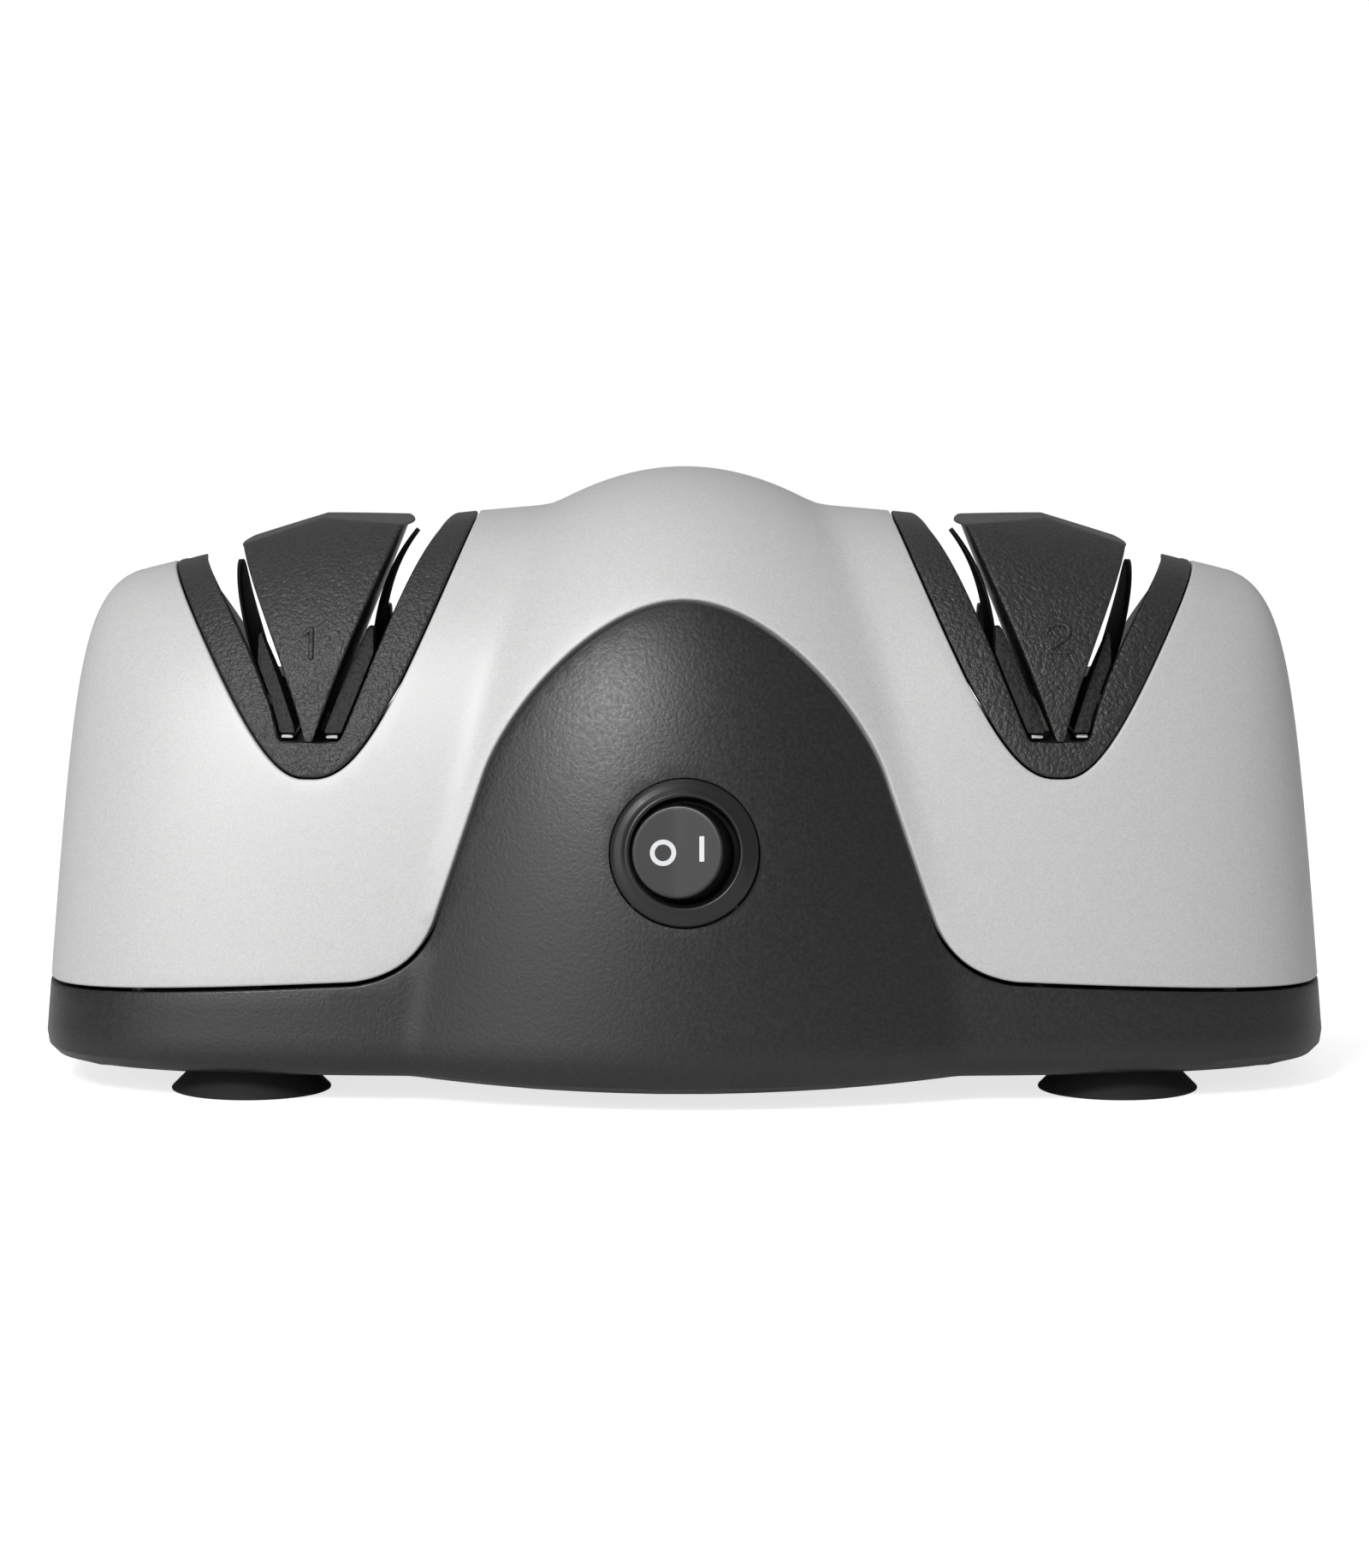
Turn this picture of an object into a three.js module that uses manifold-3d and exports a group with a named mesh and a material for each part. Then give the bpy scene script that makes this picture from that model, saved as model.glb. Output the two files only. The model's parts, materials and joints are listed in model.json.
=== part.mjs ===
// Electric two-stage knife sharpener, in millimetres, +Z up.
// The origin lies on the worktop under the middle of the body. The front faces -Y and stage 1 is at -X.
import * as THREE from "three";
import { mergeVertices } from "three/addons/utils/BufferGeometryUtils.js";
import Module from "manifold-3d";

const wasm = await Module();
wasm.setup();

// General clearances
const seatGap = 0.3; // between pieces that rest on or sit in each other
const seamGap = 0.4; // visible line between the cover and its neighbours
const runningGap = 0.8; // round turning pieces
const overrun = 60; // how far a cutting tool runs past what it cuts
const overlap = 1; // how far two joined bodies of one piece run into each other

// Body shell
const bodyHalfWidth = 105;
const bodyHalfDepth = 46;
const bodyRidge = 93.6; // height of the body's top line at the centre
const ridgeDroop = 15.4; // how much lower the top line lies at the body's ends
const endTaper = 8.7; // how far the end walls lean in up to the shoulder
const endShoulder = 6.9; // what the rounded shoulder takes off the length of the top line
const endShoulderPower = 6;
const cornerPower = 4; // exponent of the rounded rectangle seen from above
const skirtBottom = 4.2;
const skirtEdgeRadius = 4;
const wall = 2.2;
const bodyHandleShares = [[0.891, 0.56], [0.815, 1]]; // of half depth and ridge height

// Hood over the middle of the body
const hoodHalfDepth = 55.5;
const hoodTop = 99.3;
const hoodDip = 1.3; // how much lower the hood's bottom edge lies than the skirt's
const hoodHandleShares = [[0.91, 0.584], [0.73, 1]]; // of hood half depth and hood height
const creaseFoot = 43.5; // half width of the hood at the skirt
const creaseTop = 21.4; // half width of the hood at the ridge
const creaseHandleShares = [0.864, 0.577]; // of the half width at the skirt

// Seam between cover and base, with the arched front panel
const archTop = 79.8;
const archShoulder = [31.8, 52.7];
const archFoot = [39.3, 30.5];
const seamStart = [52.7, 19.3];
const seamEnd = 16.6;
const archTopHandleShare = 0.425; // of the shoulder's half width
const archShoulderHandle = [3.9, 10.8];
const archFootHandle = [2.1, 7.4];
const seamStartHandle = [6.2, 0.9];
const archSteps = 10;

// Stages
const stageShare = 4 / 7; // of the half width, centre of each stage from the centre of the body
const stageOffset = stageShare * bodyHalfWidth;
const shaftHeight = 44;
const slotRaise = 13.2; // of the slots' floor above the shaft
const slotFloor = shaftHeight + slotRaise;
const notchDrop = 5.8; // of the notch's bottom below the slots' floor
const notchBottom = slotFloor - notchDrop;
const notchSpan = 26; // half width of the notch at the top
const notchTop = 91.4; // height at which the notch's curves end
const notchRise = notchTop - notchBottom;
const notchOuterShares = [[0.03, 0], [0.312, 0], [0.56, 0.43], [0.94, 0.83]]; // of span and rise
const notchInnerShares = [[0.03, 0], [-0.327, 0], [-0.538, 0.303], [-0.973, 0.97]];
const slotTop = 90.7; // height at which the slots' curves end
const slotRise = slotTop - slotFloor;
const slotSpan = 20; // half width over both slots at the top
const wallOuterShares = [[0.24, 0], [0.309, 0.206], [0.52, 0.5], [0.94, 0.83]]; // of slot span and rise
const wallInnerShares = [[-0.245, 0], [-0.54, 0.41], [-0.82, 0.93], [-1.09, 1.02]];
const flankOuterShares = [[0.025, 0], [0.21, 0.367], [0.665, 0.887]];
const flankInnerShares = [[-0.03, 0], [-0.325, 0.487], [-0.765, 1]];
const flankSteps = 6;
const wedgeProud = 1.6; // how far the wedge stands out of the body's line
const wedgeLift = 1.8; // how much further it stands out at the body's top line
const wedgeLiftPower = 4;
const wedgePeak = 91.4; // height of the wedge's roof
const wedgePeakOffset = -0.6; // of the peak outwards from the stage's centre
const wedgeWall = 2.4;
const wedgeHollowStart = 6.8; // height above the slot's floor where the wedge's hollow begins
const keelStart = 20.5; // of the wedge's two keels from the middle
const keelLength = 8;
const keelDrop = 4; // below the slot's floor
const troughWall = 1.8;
const exitWall = 1.1; // of the liner around the room where the outer slot opens out
const exitStart = 5.5; // of that room above the slot's floor
const exitAngle = 12; // degrees, rise of the room's floor towards the notch's edge

// Blade guides in each slot
const bladeGap = 1.3; // between the wedge's flank and the pad
const padTopShare = 0.5254; // of the slot's rise
const padShoulderShares = { 1: 0.352, [-1]: 0.41 }; // where an outer or inner pad starts to narrow
const padTopWidth = { 1: 0.3, [-1]: 1 };
const padRecess = 1.6; // of the pad's face behind the liner's face
const padReach = 24; // of the pads inwards from the body's widest line
const padInnerY = bodyHalfDepth - padReach; // half distance between the front and the rear pad
const padSteps = 4; // in each flank of a pad
const railHeight = 2.2;
const clipThickness = 0.6;
const clipWidth = 2.1;
const clipTabHalfDepth = 8;
const leafThickness = 0.8;
const leafHalfDepth = 14;
const leafOuterShares = [[0.36, 0.04], [0.48, 0.275], [0.61, 0.555], [0.67, 0.8]]; // of slot span and rise
const leafInnerShares = [[-0.35, 0.04], [-0.43, 0.275], [-0.51, 0.59], [-0.8, 0.95]];
const pocketOuterShares = [[0.44, 0], [0.59, 0.275], [0.75, 0.56]];
const pocketInnerShares = [[-0.42, 0], [-0.52, 0.275], [-0.6, 0.56]];
const pocketHalfDepth = 17;

// Shaft and grinding wheels
const shaftRadius = 2.5;
const shaftEnd = 3.5; // of the shaft past its outboard bearings
const collarRadius = 4;
const collarLength = 3;
const wheelRadius = 20.5;
const wheelThickness = 4;
const wheelFaceChamfer = 0.8;
const hubRadius = 7;
const hubFlangeRadius = 10;
const hubLength = 14;
const hubFlangeThickness = 2;
const wheelFloat = 0.4; // how far a wheel can slide on the shaft, each way
const springRadius = 4.2;
const springWire = 0.9;
const springTurns = 3;
const springLength = 6;
const springPlay = 0.6; // between a spring's end and the hub

// Outboard bearings and their brackets
const bearingRadius = 8;
const bearingLength = 5;
const bearingPlay = 0.6; // between a bearing and the outer collar
const wheelUnitHalf = hubLength / 2 + springPlay + springLength + seatGap + collarLength;
const bearingOffset = stageOffset + wheelUnitHalf + bearingPlay + bearingLength / 2;
const shaftHalfLength = bearingOffset + bearingLength / 2 + shaftEnd;
const raceWidth = 1;
const raceDish = 0.5; // of the ball cage behind the faces of the races
const bracketHalfDepth = 13;
const bracketThickness = 7;
const bracketRim = 3;
const bracketFootThickness = 3;
const bracketFootHalfLength = 9;

// Motor
const motorRadius = 17.5;
const motorHalfLength = 23;
const canThickness = 1.4;
const magnetThickness = 3;
const magnetAngle = 130; // degrees
const armatureGap = 0.7;
const armatureHalfLength = 13;
const armatureCentre = 2;
const windingHead = 3.3;
const windingRadius = 10.6;
const armatureSlots = 7;
const armatureSlotWidth = 2.4;
const armatureSlotDepth = 4.5;
const commutatorRadius = 5.5;
const commutatorLength = 6;
const commutatorCentre = -18.4;
const brushWidth = 4;
const brushLength = 7;
const brushHolderWall = 1.2;
const capThickness = 2.5;
const capBossRadius = 8;
const capBossLength = 5;
const sleeveRadius = 5.2;
const sleeveLength = 6.5;
const fanRadius = 15;
const fanHubRadius = 6;
const fanLengthShare = 0.4; // of the free shaft between the motor and the inner collar
const fanBlades = 8;
const fanBladeThickness = 1.4;
const fanPitch = 35; // degrees

// Base plate, bosses and feet
const plateInset = 6; // of the plate's opening from the outside of the skirt
const plateThickness = 3.2;
const ledgeThickness = 2.5; // of the skirt's ledge round the plate
const bossEndInset = 17; // of the screw bosses from the body's ends
const bossSideInset = 19.5; // and from its front and rear
const bossX = bodyHalfWidth - bossEndInset;
const bossY = bodyHalfDepth - bossSideInset;
const footSpacing = 17.8; // of a foot's axis from the screw beside it
const footSideInset = 18.4;
const footX = bossX - footSpacing;
const footY = bodyHalfDepth - footSideInset;
const footRadius = 12.9;
const footNeckRadius = 9.6;
const footRimWidth = 1.8;
const footRimThickness = 0.9;
const footHollow = 2;
const footHollowShares = [0.6, 0.8]; // of the neck's radius and of the hollow, where the hollow turns flat
const footStemRadius = 3.8;
const footBarbRadius = 4.8;
const footBarbLength = 2.4;
const bossRadius = 4.6;
const screwRadius = 1.5;
const screwHeadRadius = 3.1;
const screwHeadThickness = 1.6;
const screwLength = 24;
const screwRecess = 0.3; // of the head in the plate
const crossWidth = 0.9;
const crossDepth = 0.9;
const crossArmShare = 0.6; // of the head's radius
const coverBossTop = 34;
const gussetThickness = 3;
const gussetLength = 11;
const gussetInset = 1; // of the gusset's end from the outside
const ventCount = 5;
const ventWidth = 2.6;
const ventLength = 26;
const ventPitch = 6;
const saddleX = 17; // half distance between the motor saddles
const saddleThickness = 3;
const saddleHalfDepth = 17;
const saddleReach = 8; // how far a saddle reaches up the side of the motor

// Rocker switch in the arched panel
const switchHeight = 41.1;
const bezelRadius = 11.7;
const bezelThickness = 1.6;
const bezelLipRadius = 9.9;
const bezelLipHeight = 0.9;
const switchBodyRadius = 9.7;
const switchBodyLength = 15;
const switchWellRadius = 8.6;
const switchWellDepth = 7.5;
const rockerRadius = 7.9;
const rockerFaceRadius = 7.2;
const rockerHeight = 6;
const rockerPivotDepth = 3.2; // of the rocker's axis below the bezel's lip
const rockerTilt = 12; // degrees, rocker leaning to the O side
const rockerValley = 5; // degrees, fall of each half of the face to its middle
const rockerProud = 1.2; // of the level rocker above the bezel's lip
const rockerPinRadius = 1.2;
const rockerPinHalfLength = 9.2;
const bezelChamfer = 0.5;
const terminalWidth = 4.8;
const terminalThickness = 0.8;
const terminalLength = 6;
const terminalOffset = 5;
const spotDepth = 1; // of the flat seat that the bezel rests on

// Cord gland in the rear skirt
const glandEndInset = 47; // of the gland from the body's end
const glandX = bodyHalfWidth - glandEndInset;
const glandHeight = 11.7;
const glandFlangeRadius = 5;
const glandFlangeThickness = 1.4;
const glandRadius = 3.9;
const glandLength = 11;
const glandRidge = 0.7;
const glandRidgeLength = 2;
const glandSeatDepth = 0.8; // of the flat seat in the rear skirt at the gland's centre
const cordBore = 2.7;

// Rectifier board
const boardShare = 12 / 35; // of the half width, centre of the board
const boardX = boardShare * bodyHalfWidth;
const boardSideInset = 26;
const boardY = bodyHalfDepth - boardSideInset;
const boardLength = 24;
const boardWidth = 18;
const boardThickness = 1.6;
const boardPost = 3;
const boardPostRadius = 1.8;
const bridgeSize = 7;
const bridgeHeight = 5;
const capacitorRadius = 4;
const capacitorLength = 13;

// How finely round pieces and the shell are faceted
const visibleSegments = 32;
const fineSegments = 24;
const segments = 16;
const smallSegments = 10;
const outsideSteps = { side: 7, hood: 8, level: 11, edge: 2 };
const insideSteps = { side: 4, hood: 6, level: 8 };
const magnetSteps = 8;
const springSteps = 8; // in one turn
const springSides = 5;
const weldDistance = 1e-4;
const halvings = 40; // of the range in which a level is searched

// Materials
const finish = (color, roughness, metalness) =>
  new THREE.MeshStandardMaterial({ color, roughness, metalness });
const silverPaint = finish("#c9c9c9", 0.38, 0.55);
const blackPlastic = finish("#2b2b2c", 0.55, 0);
const linerPlastic = finish("#262626", 0.62, 0);
const glossPlastic = finish("#1b1b1c", 0.3, 0);
const rubber = finish("#18181a", 0.85, 0);
const steel = finish("#a9abae", 0.3, 0.95);
const brightSteel = finish("#d8d9da", 0.2, 1);
const darkSteel = finish("#141414", 0.4, 0.4);
const copper = finish("#a8643a", 0.35, 0.9);
const brass = finish("#c3a052", 0.3, 0.95);
const carbon = finish("#3a3a3c", 0.7, 0.1);
const ferrite = finish("#4a4a4d", 0.7, 0.2);
const coarseStone = finish("#7c6f63", 0.95, 0);
const fineStone = finish("#d9d5cc", 0.95, 0);
const boardGreen = finish("#2e6b45", 0.5, 0);
const whitePlastic = finish("#d5d3cb", 0.5, 0);

const radians = THREE.MathUtils.degToRad;
const full = 2 * Math.PI;

// Solids from three.js geometries
function solidFrom(geometry) {
  const bare = geometry.clone();
  bare.deleteAttribute("normal");
  bare.deleteAttribute("uv");
  bare.clearGroups();
  const merged = mergeVertices(bare, weldDistance);
  const position = merged.getAttribute("position");
  const order = Array.from(merged.index.array);
  const triVerts = [];
  for (let i = 0; i < order.length; i += 3) {
    const [a, b, c] = order.slice(i, i + 3);
    if (a !== b && b !== c && a !== c) triVerts.push(a, b, c);
  }
  if (signedVolume(position, triVerts) < 0) triVerts.reverse();
  const mesh = new wasm.Mesh({
    numProp: 3,
    vertProperties: new Float32Array(position.array),
    triVerts: new Uint32Array(triVerts),
  });
  return new wasm.Manifold(mesh);
}

function signedVolume(position, triVerts) {
  const [a, b, c] = [new THREE.Vector3(), new THREE.Vector3(), new THREE.Vector3()];
  let sum = 0;
  for (let i = 0; i < triVerts.length; i += 3) {
    a.fromBufferAttribute(position, triVerts[i]);
    b.fromBufferAttribute(position, triVerts[i + 1]);
    c.fromBufferAttribute(position, triVerts[i + 2]);
    sum += a.dot(b.cross(c));
  }
  return sum;
}

function geometryFrom(solid) {
  const mesh = solid.getMesh();
  const count = mesh.numProp;
  const points = new Float32Array(mesh.numVert * 3);
  for (let i = 0; i < mesh.numVert; i++) {
    points.set(mesh.vertProperties.subarray(i * count, i * count + 3), i * 3);
  }
  const geometry = new THREE.BufferGeometry();
  geometry.setAttribute("position", new THREE.BufferAttribute(points, 3));
  geometry.setIndex(new THREE.BufferAttribute(new Uint32Array(mesh.triVerts), 1));
  const flat = geometry.toNonIndexed();
  flat.computeVertexNormals();
  return flat;
}

const join = (...solids) => solids.reduce((a, b) => a.add(b));
const cut = (solid, ...tools) => tools.reduce((a, b) => a.subtract(b), solid);

// Basic forms. Outlines are lists of [across, up] points.
function shapeFrom(points, holes = []) {
  const shape = new THREE.Shape(points.map(([x, y]) => new THREE.Vector2(x, y)));
  for (const hole of holes) shape.holes.push(new THREE.Path(hole.map(([x, y]) => new THREE.Vector2(x, y))));
  return shape;
}

// A form that stands upright: an X-Y outline from one height to another.
function upright(points, fromZ, toZ) {
  const geometry = new THREE.ExtrudeGeometry(shapeFrom(points), { depth: toZ - fromZ, bevelEnabled: false });
  return solidFrom(geometry.translate(0, 0, fromZ));
}

// An X-Z outline run from front to back.
function alongY(points, fromY, toY) {
  const geometry = new THREE.ExtrudeGeometry(shapeFrom(points), { depth: toY - fromY, bevelEnabled: false });
  return solidFrom(geometry.rotateX(Math.PI / 2).translate(0, toY, 0));
}

// A Y-Z outline run from left to right.
function alongX(points, fromX, toX) {
  const geometry = new THREE.ExtrudeGeometry(shapeFrom(points), { depth: toX - fromX, bevelEnabled: false });
  return solidFrom(geometry.rotateX(Math.PI / 2).rotateZ(Math.PI / 2).translate(fromX, 0, 0));
}

function block(fromX, toX, fromY, toY, fromZ, toZ) {
  const geometry = new THREE.BoxGeometry(toX - fromX, toY - fromY, toZ - fromZ);
  geometry.translate((fromX + toX) / 2, (fromY + toY) / 2, (fromZ + toZ) / 2);
  return solidFrom(geometry);
}

// A turned form about Z: the profile lists [radius, height] points and closes on itself or on the axis.
function turned(profile, count = segments) {
  const closes = profile[0][0] > 0;
  const points = closes ? [...profile, profile[0]] : profile;
  const geometry = new THREE.LatheGeometry(points.map(([r, y]) => new THREE.Vector2(r, y)), count);
  return solidFrom(geometry.rotateX(Math.PI / 2));
}

const tube = (inner, outer, from, to) => [[inner, from], [outer, from], [outer, to], [inner, to]];
const rod = (radius, from, to) => [[0, from], [radius, from], [radius, to], [0, to]];

// Turned forms about the shaft's axis: heights in the profile become X.
const onShaft = (profile, count) => turned(profile, count).rotate([0, 90, 0]).translate([0, 0, shaftHeight]);

// Curves of the outlines
function bezier(points, steps) {
  const ends = points.map(([x, y]) => new THREE.Vector2(x, y));
  const Curve = ends.length === 4 ? THREE.CubicBezierCurve : THREE.QuadraticBezierCurve;
  const curve = new Curve(...ends);
  return curve.getPoints(steps).map((p) => [p.x, p.y]);
}

const atShares = (shares, span, rise, floor) => shares.map(([x, z]) => [x * span, floor + z * rise]);

// The outline carried straight on past its last point.
function runOn(points, length) {
  const [[ax, ay], [bx, by]] = points.slice(-2);
  const step = Math.hypot(bx - ax, by - ay);
  return [...points, [bx + ((bx - ax) / step) * length, by + ((by - ay) / step) * length]];
}

// A closed outline with each side moved outwards by a distance, or inwards by a negative one.
function grown(points, distance) {
  const area = points.reduce((sum, [x, y], i) => {
    const [nx, ny] = points[(i + 1) % points.length];
    return sum + x * ny - nx * y;
  }, 0);
  const side = Math.sign(area) * distance;
  const normals = points.map(([x, y], i) => {
    const [nx, ny] = points[(i + 1) % points.length];
    const length = Math.hypot(nx - x, ny - y);
    return [(ny - y) / length, (x - nx) / length];
  });
  return points.map(([x, y], i) => {
    const [ax, ay] = normals[(i + points.length - 1) % points.length];
    const [bx, by] = normals[i];
    const spread = 1 + ax * bx + ay * by;
    return [x + (side * (ax + bx)) / spread, y + (side * (ay + by)) / spread];
  });
}

// Body shell. A level from 0 to 1 runs up the wall and over to the top line.
function cubic(p, t) {
  const s = 1 - t;
  return s * s * s * p[0] + 3 * s * s * t * p[1] + 3 * s * t * t * p[2] + t * t * t * p[3];
}

function cubicSlope(p, t) {
  const s = 1 - t;
  return 3 * (s * s * (p[1] - p[0]) + 2 * s * t * (p[2] - p[1]) + t * t * (p[3] - p[2]));
}

const wallStart = skirtBottom + skirtEdgeRadius;
const bodyDepths = [bodyHalfDepth, ...bodyHandleShares.map(([d]) => d * bodyHalfDepth), 0];
const bodyHeights = [wallStart, ...bodyHandleShares.map(([, h]) => h * bodyRidge), bodyRidge];
const hoodDepths = [hoodHalfDepth, ...hoodHandleShares.map(([d]) => d * hoodHalfDepth), 0];
const hoodHeights = [wallStart, ...hoodHandleShares.map(([, h]) => h * hoodTop), hoodTop];
const creaseWidths = [creaseFoot, ...creaseHandleShares.map((share) => share * creaseFoot), creaseTop];

// Depth and height of a profile at a level, moved inwards by an inset.
function profileAt(depths, heights, level, inset) {
  const run = cubicSlope(depths, level);
  const climb = cubicSlope(heights, level);
  const length = Math.hypot(run, climb);
  return [cubic(depths, level) - (inset * climb) / length, cubic(heights, level) + (inset * run) / length];
}

const endAt = (level) => bodyHalfWidth - endTaper * level - endShoulder * level ** endShoulderPower;

function levelRing(level, inset, steps) {
  const [depth, height] = profileAt(bodyDepths, bodyHeights, level, inset);
  const [hoodDepth, hoodHeight] = profileAt(hoodDepths, hoodHeights, level, inset);
  const climb = cubicSlope(bodyHeights, level);
  const lean = endTaper + endShoulder * endShoulderPower * level ** (endShoulderPower - 1);
  const end = endAt(level) - (inset * climb) / Math.hypot(climb, lean);
  return ringOf({ end, depth, height, hoodDepth, hoodHeight, crease: cubic(creaseWidths, level) }, steps);
}

// The ring at the skirt's rounded lower edge, from an angle of 0 at the wall to 90 degrees underneath.
function edgeRing(angle, inset) {
  const inwards = skirtEdgeRadius * (1 - Math.cos(angle)) + inset;
  const height = wallStart - skirtEdgeRadius * Math.sin(angle);
  const sizes = {
    end: bodyHalfWidth - inwards,
    depth: bodyHalfDepth - inwards,
    height,
    hoodDepth: hoodHalfDepth - inwards,
    hoodHeight: height - hoodDip * Math.sin(angle),
    crease: creaseFoot,
  };
  return ringOf(sizes, outsideSteps);
}

function ringOf({ end, depth, height, hoodDepth, hoodHeight, crease }, steps) {
  const plan = (x) => Math.max(0, 1 - Math.abs(x / end) ** cornerPower) ** (1 / cornerPower);
  const lastAngle = Math.acos((crease / end) ** (cornerPower / 2));
  const stations = [];
  for (let i = 0; i < steps.side; i++) {
    stations.push(-end * Math.cos((lastAngle * i) / steps.side) ** (2 / cornerPower));
  }
  for (let i = 0; i <= steps.hood; i++) stations.push(crease * ((2 * i) / steps.hood - 1));
  for (let i = steps.side - 1; i >= 0; i--) stations.push(-stations[i]);
  const droop = (ridgeDroop * (height - skirtBottom)) / (bodyRidge - skirtBottom);
  const side = (sign) => (x) => {
    const swell = Math.max(0, 1 - (x / crease) ** 2);
    const y = depth * plan(x) + (hoodDepth - depth) * swell;
    const z = height - droop * (x / bodyHalfWidth) ** 2 + (hoodHeight - height) * swell;
    return new THREE.Vector3(x, sign * y, z);
  };
  return [...stations.map(side(-1)), ...stations.slice(1, -1).reverse().map(side(1))];
}

// A closed body lofted through rings, with flat fans at both ends.
function loft(rings) {
  const count = rings[0].length;
  const points = rings.flat();
  const faces = [];
  for (let r = 0; r < rings.length - 1; r++) {
    for (let i = 0; i < count; i++) {
      const a = r * count + i;
      const b = r * count + ((i + 1) % count);
      faces.push(a, b, b + count, a, b + count, a + count);
    }
  }
  const middle = (ring) => ring.reduce((sum, p) => sum.add(p), new THREE.Vector3()).divideScalar(ring.length);
  for (const [r, flip] of [[0, true], [rings.length - 1, false]]) {
    const hub = points.length;
    points.push(middle(rings[r]));
    for (let i = 0; i < count; i++) {
      const a = r * count + i;
      const b = r * count + ((i + 1) % count);
      faces.push(...(flip ? [hub, b, a] : [hub, a, b]));
    }
  }
  const geometry = new THREE.BufferGeometry().setFromPoints(points);
  return solidFrom(geometry.setIndex(faces));
}

const levels = (inset, steps, lift = 0) =>
  Array.from({ length: steps.level + 1 }, (_, i) => {
    const level = i / steps.level;
    return levelRing(level, inset - lift * level ** wedgeLiftPower, steps);
  });

// The outside of the body, moved inwards by an inset and outwards by a lift that grows to the top line.
function outside(inset = 0, lift = 0) {
  const edges = [];
  for (let i = outsideSteps.edge; i > 0; i--) {
    edges.push(edgeRing(((Math.PI / 2) * i) / outsideSteps.edge, inset));
  }
  return loft([...edges, ...levels(inset, outsideSteps, lift)]);
}

const plateTop = skirtBottom + plateThickness;
const bossBottom = plateTop + seatGap;

// The room inside the body, above the ledge that frames the base plate.
function inside(inset = wall) {
  const rings = levels(inset, insideSteps);
  const foot = rings[0].map((p) => new THREE.Vector3(p.x, p.y, skirtBottom + ledgeThickness));
  return loft([foot, ...rings]);
}

// The skirt's outline seen from above, moved inwards by an inset.
const planOutline = (inset) => levelRing(0, inset, outsideSteps).map((p) => [p.x, p.y]);

const bodyOutside = outside();
const bodyInside = inside();
const bodyShell = cut(bodyOutside, bodyInside);
const clearFront = hoodHalfDepth + overrun;

// Region of the base below the seam
const mirrored = (points) => points.map(([x, y]) => [-x, y]).reverse();

function seamHalf(arched) {
  const run = runOn([seamStart, [bodyHalfWidth, seamEnd]], overrun);
  if (!arched) return run;
  const [shoulderX, shoulderZ] = archShoulder;
  const [footX, footZ] = archFoot;
  const crown = [
    [0, archTop],
    [shoulderX * archTopHandleShare, archTop],
    [shoulderX - archShoulderHandle[0], shoulderZ + archShoulderHandle[1]],
    archShoulder,
  ];
  const flare = [
    archFoot,
    [footX + archFootHandle[0], footZ - archFootHandle[1]],
    [seamStart[0] - seamStartHandle[0], seamStart[1] + seamStartHandle[1]],
    seamStart,
  ];
  return [...bezier(crown, archSteps), ...bezier(flare, archSteps), ...run.slice(1)];
}

function belowSeam(distance) {
  const closed = (half) => {
    const line = [...mirrored(half), ...half.slice(half[0][0] === 0 ? 1 : 0)];
    const reach = line[line.length - 1][0];
    return grown([...line, [reach, -overrun], [-reach, -overrun]], distance);
  };
  const front = alongY(closed(seamHalf(true)), -clearFront, 0);
  const rear = alongY(closed(seamHalf(false)), -overlap, clearFront);
  return join(front, rear);
}

// Outlines of a stage, across from its centre and outwards, for the outer (1) or inner (-1) slot
const curveAt = (shares, span, rise, floor) => bezier(atShares(shares, span, rise, floor), flankSteps);
const slotCurve = (shares) => curveAt(shares, slotSpan, slotRise, slotFloor);
const wallCurve = { 1: slotCurve(wallOuterShares), [-1]: slotCurve(wallInnerShares) };
const flankCurve = { 1: slotCurve(flankOuterShares), [-1]: slotCurve(flankInnerShares) };
const notchCurve = {
  1: curveAt(notchOuterShares, notchSpan, notchRise, notchBottom),
  [-1]: curveAt(notchInnerShares, notchSpan, notchRise, notchBottom),
};

const withoutFirstIfShared = (a, b) => (a[0][0] === b[0][0] ? b.slice(1) : b);
const bay = (curves) => {
  const outer = runOn(curves[1], overrun);
  const inner = runOn(curves[-1], overrun);
  return [...outer.reverse(), ...withoutFirstIfShared(curves[1], inner)];
};

// A stage's outline in the body's frame, for the stage at the left (-1) or right (1).
const placed = (points, stage) => points.map(([x, z]) => [stage * (stageOffset + x), z]);
const bayTool = (outline, stage) => alongY(placed(outline, stage), -clearFront, clearFront);

// How far across a curve lies at a height
function acrossAt(curve, height) {
  const next = Math.max(1, curve.findIndex(([, z], i) => z >= height || i === curve.length - 1));
  const [[ax, az], [bx, bz]] = [curve[next - 1], curve[next]];
  return ax + ((bx - ax) * (height - az)) / (bz - az);
}

const wheelRoom = (stage) => {
  const half = wheelThickness / 2 + wheelFloat + runningGap;
  const room = onShaft(rod(wheelRadius + runningGap, -half, half), fineSegments);
  return room.translate([stage * stageOffset, 0, 0]);
};

// Cover
function bossAndGusset(sideX, sideY, fromZ, toZ) {
  const post = turned(rod(bossRadius, fromZ, toZ)).translate([sideX * bossX, sideY * bossY, 0]);
  const [near, far] = [sideY * bossY, sideY * (bossY + gussetLength)];
  const [left, right] = [sideX * bossX - gussetThickness / 2, sideX * bossX + gussetThickness / 2];
  const rib = block(left, right, Math.min(near, far), Math.max(near, far), fromZ, toZ);
  return join(post, rib);
}

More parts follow.
